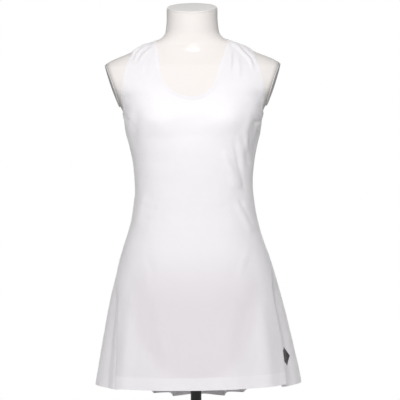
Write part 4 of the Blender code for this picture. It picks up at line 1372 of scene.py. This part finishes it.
def cap_mesh(name, outline, normal):
    """A thin domed plate with a rounded rim over a flat cut."""
    middle = sum(outline, Vector((0.0, 0.0, 0.0))) / len(outline)
    spread = sum((p - middle).length for p in outline) / len(outline)
    edge = 1.0 - CAP_INSET / spread
    levels = [(SEAM, edge), (SEAM + CAP_THICK * CAP_WALL, edge)]
    for step in range(1, CAP_RIM_STEPS + 1):
        turn = math.pi / 2.0 * step / CAP_RIM_STEPS
        lift = SEAM + CAP_THICK * (CAP_WALL + (1.0 - CAP_WALL) * math.sin(turn))
        levels.append((lift, edge - (edge - CAP_FLAT) * (1.0 - math.cos(turn))))
    for step in range(1, CAP_DOME_STEPS + 1):
        share = 1.0 - step / (CAP_DOME_STEPS + 0.2)
        levels.append((SEAM + CAP_THICK + CAP_DOME * (1.0 - share**2), CAP_FLAT * share))
    bm = bmesh.new()
    rings = []
    for lift, scale in levels:
        rings.append([middle + (p - middle) * scale + normal * lift for p in outline])
    skin_rings(bm, rings)
    bmesh.ops.recalc_face_normals(bm, faces=bm.faces[:])
    return mesh_of(name, bm)


def build_form():
    planes = {
        "neck_cap": neck_plane(),
        "arm_cap_left": cut_plane(-1.0),
        "arm_cap_right": cut_plane(1.0),
    }
    heights = [blend(FORM_BOTTOM, FORM_TOP, i / FORM_RINGS) for i in range(FORM_RINGS + 1)]
    turns = [math.tau * j / FORM_SIDES for j in range(FORM_SIDES)]
    bm = bmesh.new()
    skin_rings(bm, [[FORM.point(height, turn) for turn in turns] for height in heights])
    outlines = {name: slice_off(bm, *plane) for name, plane in planes.items()}
    bmesh.ops.remove_doubles(bm, verts=bm.verts[:], dist=1e-5)
    bmesh.ops.recalc_face_normals(bm, faces=bm.faces[:])
    shell = add_piece("form_shell", mesh_of("form_shell", bm), "form_shell")
    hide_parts("form_torso")
    for name, (_, normal) in planes.items():
        finish = "neck_plate" if name == "neck_cap" else "arm_plate"
        plate = add_piece(name + "_plate", cap_mesh(name, outlines[name], normal), finish)
        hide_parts(name)


# Sewing thread


def stitches(name, rows):
    """Short raised threads along rows of (point, outward) pairs."""
    points = []
    faces = []
    for row in rows:
        place = 0.0
        for (a, out_a), (b, out_b) in zip(row, row[1:]):
            run = (b - a).length
            while place < run:
                start = a.lerp(b, place / run)
                end = start + (b - a) / run * STITCH_LONG
                out = out_a.lerp(out_b, place / run).normalized()
                add_stitch(points, faces, start, end, out)
                place += STITCH_LONG + STITCH_GAP
            place -= run
    mesh = bpy.data.meshes.new(name)
    mesh.from_pydata([tuple(p) for p in points], [], faces)
    return add_piece(name, mesh, "white_band")


def add_stitch(points, faces, start, end, out):
    along = (end - start).normalized()
    across = along.cross(out).normalized()
    first = len(points)
    points.append(start - out * STITCH_RADIUS)
    for share in (0.2, 0.8):
        middle = start.lerp(end, share) + out * STITCH_RADIUS * 0.3
        for k in range(STITCH_SIDES):
            turn = math.tau * k / STITCH_SIDES
            points.append(middle + (out * math.cos(turn) + across * math.sin(turn)) * STITCH_RADIUS)
    points.append(end - out * STITCH_RADIUS)
    near, far = first + 1, first + 1 + STITCH_SIDES
    for k in range(STITCH_SIDES):
        n = (k + 1) % STITCH_SIDES
        faces.append((first, near + n, near + k))
        faces.append((near + k, near + n, far + n, far + k))
        faces.append((far + k, far + n, far + STITCH_SIDES))


def tree_of(piece):
    points = [vert.co.copy() for vert in piece.data.vertices]
    return BVHTree.FromPolygons(points, [tuple(face.vertices) for face in piece.data.polygons])


def on_cloth(piece, rows):
    """Rows of (point, outward) pairs, laid on the piece's outer face."""
    tree = tree_of(piece)
    laid = []
    for row in rows:
        laid.append([])
        for point, outward in row:
            start = point + outward * THREAD_REACH
            spot, normal, _, _ = tree.ray_cast(start, -outward, THREAD_REACH * 2.0)
            if spot is None:
                spot, normal, _, _ = tree.find_nearest(point)
            laid[-1].append((spot, normal))
    return laid


def hem_rows():
    rows = []
    for drop in HEM_ROWS_DOWN:
        height = FRONT_HEM + HEM_DEPTH - drop
        row = []
        for j in range(2 - HEM_STEPS, HEM_STEPS - 1):
            share = j / HEM_STEPS
            out = DRESS.outward(height, side_angle(height, share) * share)
            row.append((front_point(height, share), out))
        rows.append(row)
    return rows


def skirt_hem_row(piece):
    tree = tree_of(piece)
    row = []
    for place in back_skirt_row(SKIRT_HEM_ROW)[SKIRT_HEM_SKIP:-SKIRT_HEM_SKIP]:
        spot, normal, _, _ = tree.find_nearest(place)
        outward = Vector((spot.x, spot.y, 0.0)).normalized()
        if normal.dot(outward) < 0.0:
            spot, normal = spot - normal * CLOTH, -normal
        row.append((spot, normal))
    return row


def hip_row():
    height = SKIRT_SEAM + HIP_ROW_UP
    angles = [math.pi * blend(*HIP_ROW_SPAN, j / HIP_STEPS) for j in range(HIP_STEPS + 1)]
    return [(dress_point(height, angle), DRESS.outward(height, angle)) for angle in angles]


def band_row(opening):
    """Along the band's sewn edge, all the way round."""
    return [on_dress(points[-2]) for points in opening.band + opening.band[:1]]


def tack_rows():
    """A small bar of thread on the neck band at the top of the right strap."""
    heights = (TACK_TOP - TACK_LONG, TACK_TOP - TACK_LONG / 2.0, TACK_TOP)
    return [
        [on_dress(on_section(EdgePoint(across, height), -1)) for height in heights]
        for across in TACK_ACROSS
    ]


def sew(front, back, skirt, bands):
    """Every line of stitching that shows, with the piece that it is sewn to."""
    lines = [
        ("hem_stitching", on_cloth(front, hem_rows()), front),
        ("skirt_hem_stitching", [skirt_hem_row(skirt)], skirt),
        ("hip_stitching", on_cloth(back, [hip_row()]), back),
    ]
    for ring, opening in bands:
        name = ring.name.replace("binding", "stitching")
        lines.append((name, on_cloth(ring, [band_row(opening)]), ring))
    neck_ring = bands[0][0]
    lines.append(("strap_tack", on_cloth(neck_ring, tack_rows()), neck_ring))
    return [(stitches(name, rows), piece) for name, rows, piece in lines]


# Floor, light and camera


def flat_ring(name, inner, outer, height, finish):
    """A flat disc, or a ring where inner isn't 0, seen from above."""
    bm = bmesh.new()
    turns = [math.tau * j / FLOOR_SIDES for j in range(FLOOR_SIDES)]
    rim = [bm.verts.new((outer * math.cos(t), outer * math.sin(t), height)) for t in turns]
    if inner:
        hole = [bm.verts.new((inner * math.cos(t), inner * math.sin(t), height)) for t in turns]
        for j in range(FLOOR_SIDES):
            k = (j + 1) % FLOOR_SIDES
            bm.faces.new((hole[j], rim[j], rim[k], hole[k]))
    else:
        bm.faces.new(rim)
    mesh = mesh_of(name, bm)
    mesh.materials.append(MATERIALS[finish])
    made = add_object(name, mesh)
    return made


def make_floor():
    """A pale floor that turns into a plain white sweep away from the object."""
    flat_ring("floor", 0.0, FLOOR_RADIUS, 0.0, "floor")
    sweep = flat_ring("sweep", FLOOR_RADIUS * 0.999, SWEEP_RADIUS, -0.0005, "sweep")
    sweep.visible_diffuse = False
    sweep.visible_glossy = False
    sweep.visible_shadow = False


def add_light(lamp):
    light = bpy.data.lights.new(lamp.name, "AREA")
    light.shape = "SQUARE" if lamp.wide == lamp.tall else "ELLIPSE"
    light.size = lamp.wide
    light.size_y = lamp.tall
    light.energy = lamp.watts
    made = add_object(lamp.name, light)
    made.location = lamp.place
    way = Vector(lamp.aim) - Vector(lamp.place)
    made.rotation_euler = way.to_track_quat("-Z", "Y").to_euler()
    made.visible_glossy = lamp.mirrored


def make_light():
    """A dim white room that the camera sees as plain white, and the lights in it."""
    world = bpy.data.worlds.new("studio")
    world.use_nodes = True
    tree = world.node_tree
    tree.nodes.clear()
    seen = tree.nodes.new("ShaderNodeLightPath")
    mixed = tree.nodes.new("ShaderNodeMixShader")
    out = tree.nodes.new("ShaderNodeOutputWorld")
    tree.links.new(seen.outputs["Is Camera Ray"], mixed.inputs["Fac"])
    for strength, socket in ((ROOM_LIGHT, mixed.inputs[1]), (1.0, mixed.inputs[2])):
        white = tree.nodes.new("ShaderNodeBackground")
        white.inputs["Color"].default_value = (1.0, 1.0, 1.0, 1.0)
        white.inputs["Strength"].default_value = strength
        tree.links.new(white.outputs[0], socket)
    tree.links.new(mixed.outputs[0], out.inputs["Surface"])
    bpy.context.scene.world = world
    for lamp in LIGHTS:
        add_light(lamp)


def make_camera():
    data = bpy.data.cameras.new("camera")
    data.sensor_width = SENSOR_WIDE
    data.lens = SENSOR_WIDE * CAMERA_AWAY / FRAME_WIDE
    camera = add_object("camera", data)
    roll = math.radians(CAMERA_ROLL)
    across = (math.cos(roll), math.sin(roll), 0.0)
    turn = Matrix((across, (0.0, 0.0, -1.0), (-across[1], across[0], 0.0)))
    camera.matrix_world = Matrix.Translation((CAMERA_X, -CAMERA_AWAY, CAMERA_Z)) @ turn.to_4x4()
    scene = bpy.context.scene
    scene.camera = camera
    scene.view_settings.view_transform = "Standard"
    scene.view_settings.look = "None"


def finish_stand():
    for name in ("stand_base", "stand_pole", "stand_collar", "form_socket"):
        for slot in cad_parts[name].material_slots:
            slot.material = MATERIALS["black_stand"]


def main():
    make_camera()
    make_light()
    make_floor()
    finish_stand()
    build_form()
    neck = neck_opening()
    arms = {side: arm_opening(side) for side in (-1.0, 1.0)}
    HUGGED.append((edge_tree(neck.loop), NECK_HUG))
    for side, opening in arms.items():
        HUGGED.append((edge_tree(opening.loop), ARM_HUG[side]))
    front = build_front(neck, arms)
    back = build_back(neck, arms)
    skirt = build_back_skirt()
    neck_ring = build_band("neck_binding", neck)
    left_ring = build_band("armhole_binding_left", arms[-1.0])
    right_ring = build_band("armhole_binding_right", arms[1.0])
    pieces = (
        (front, "front_panel", FRONT_CUT, "hung"),
        (back, "back_bodice", BACK_CUT, "hung"),
        (skirt, "back_skirt", SKIRT_CUT, "hung"),
        (neck_ring, "neck_band", NECK_BAND_CUT, "stretched"),
        (left_ring, "armhole_band_left", ARM_BAND_CUT, "stretched"),
        (right_ring, "armhole_band_right", ARM_BAND_CUT, "stretched"),
    )
    for piece, node, _, _ in pieces:
        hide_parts(node)
    bands = [(neck_ring, neck), (left_ring, arms[-1.0]), (right_ring, arms[1.0])]
    threads = sew(front, back, skirt, bands)
    for piece, _, cut, held in pieces:
        [thread for thread, sewn_to in threads if sewn_to == piece]


main()
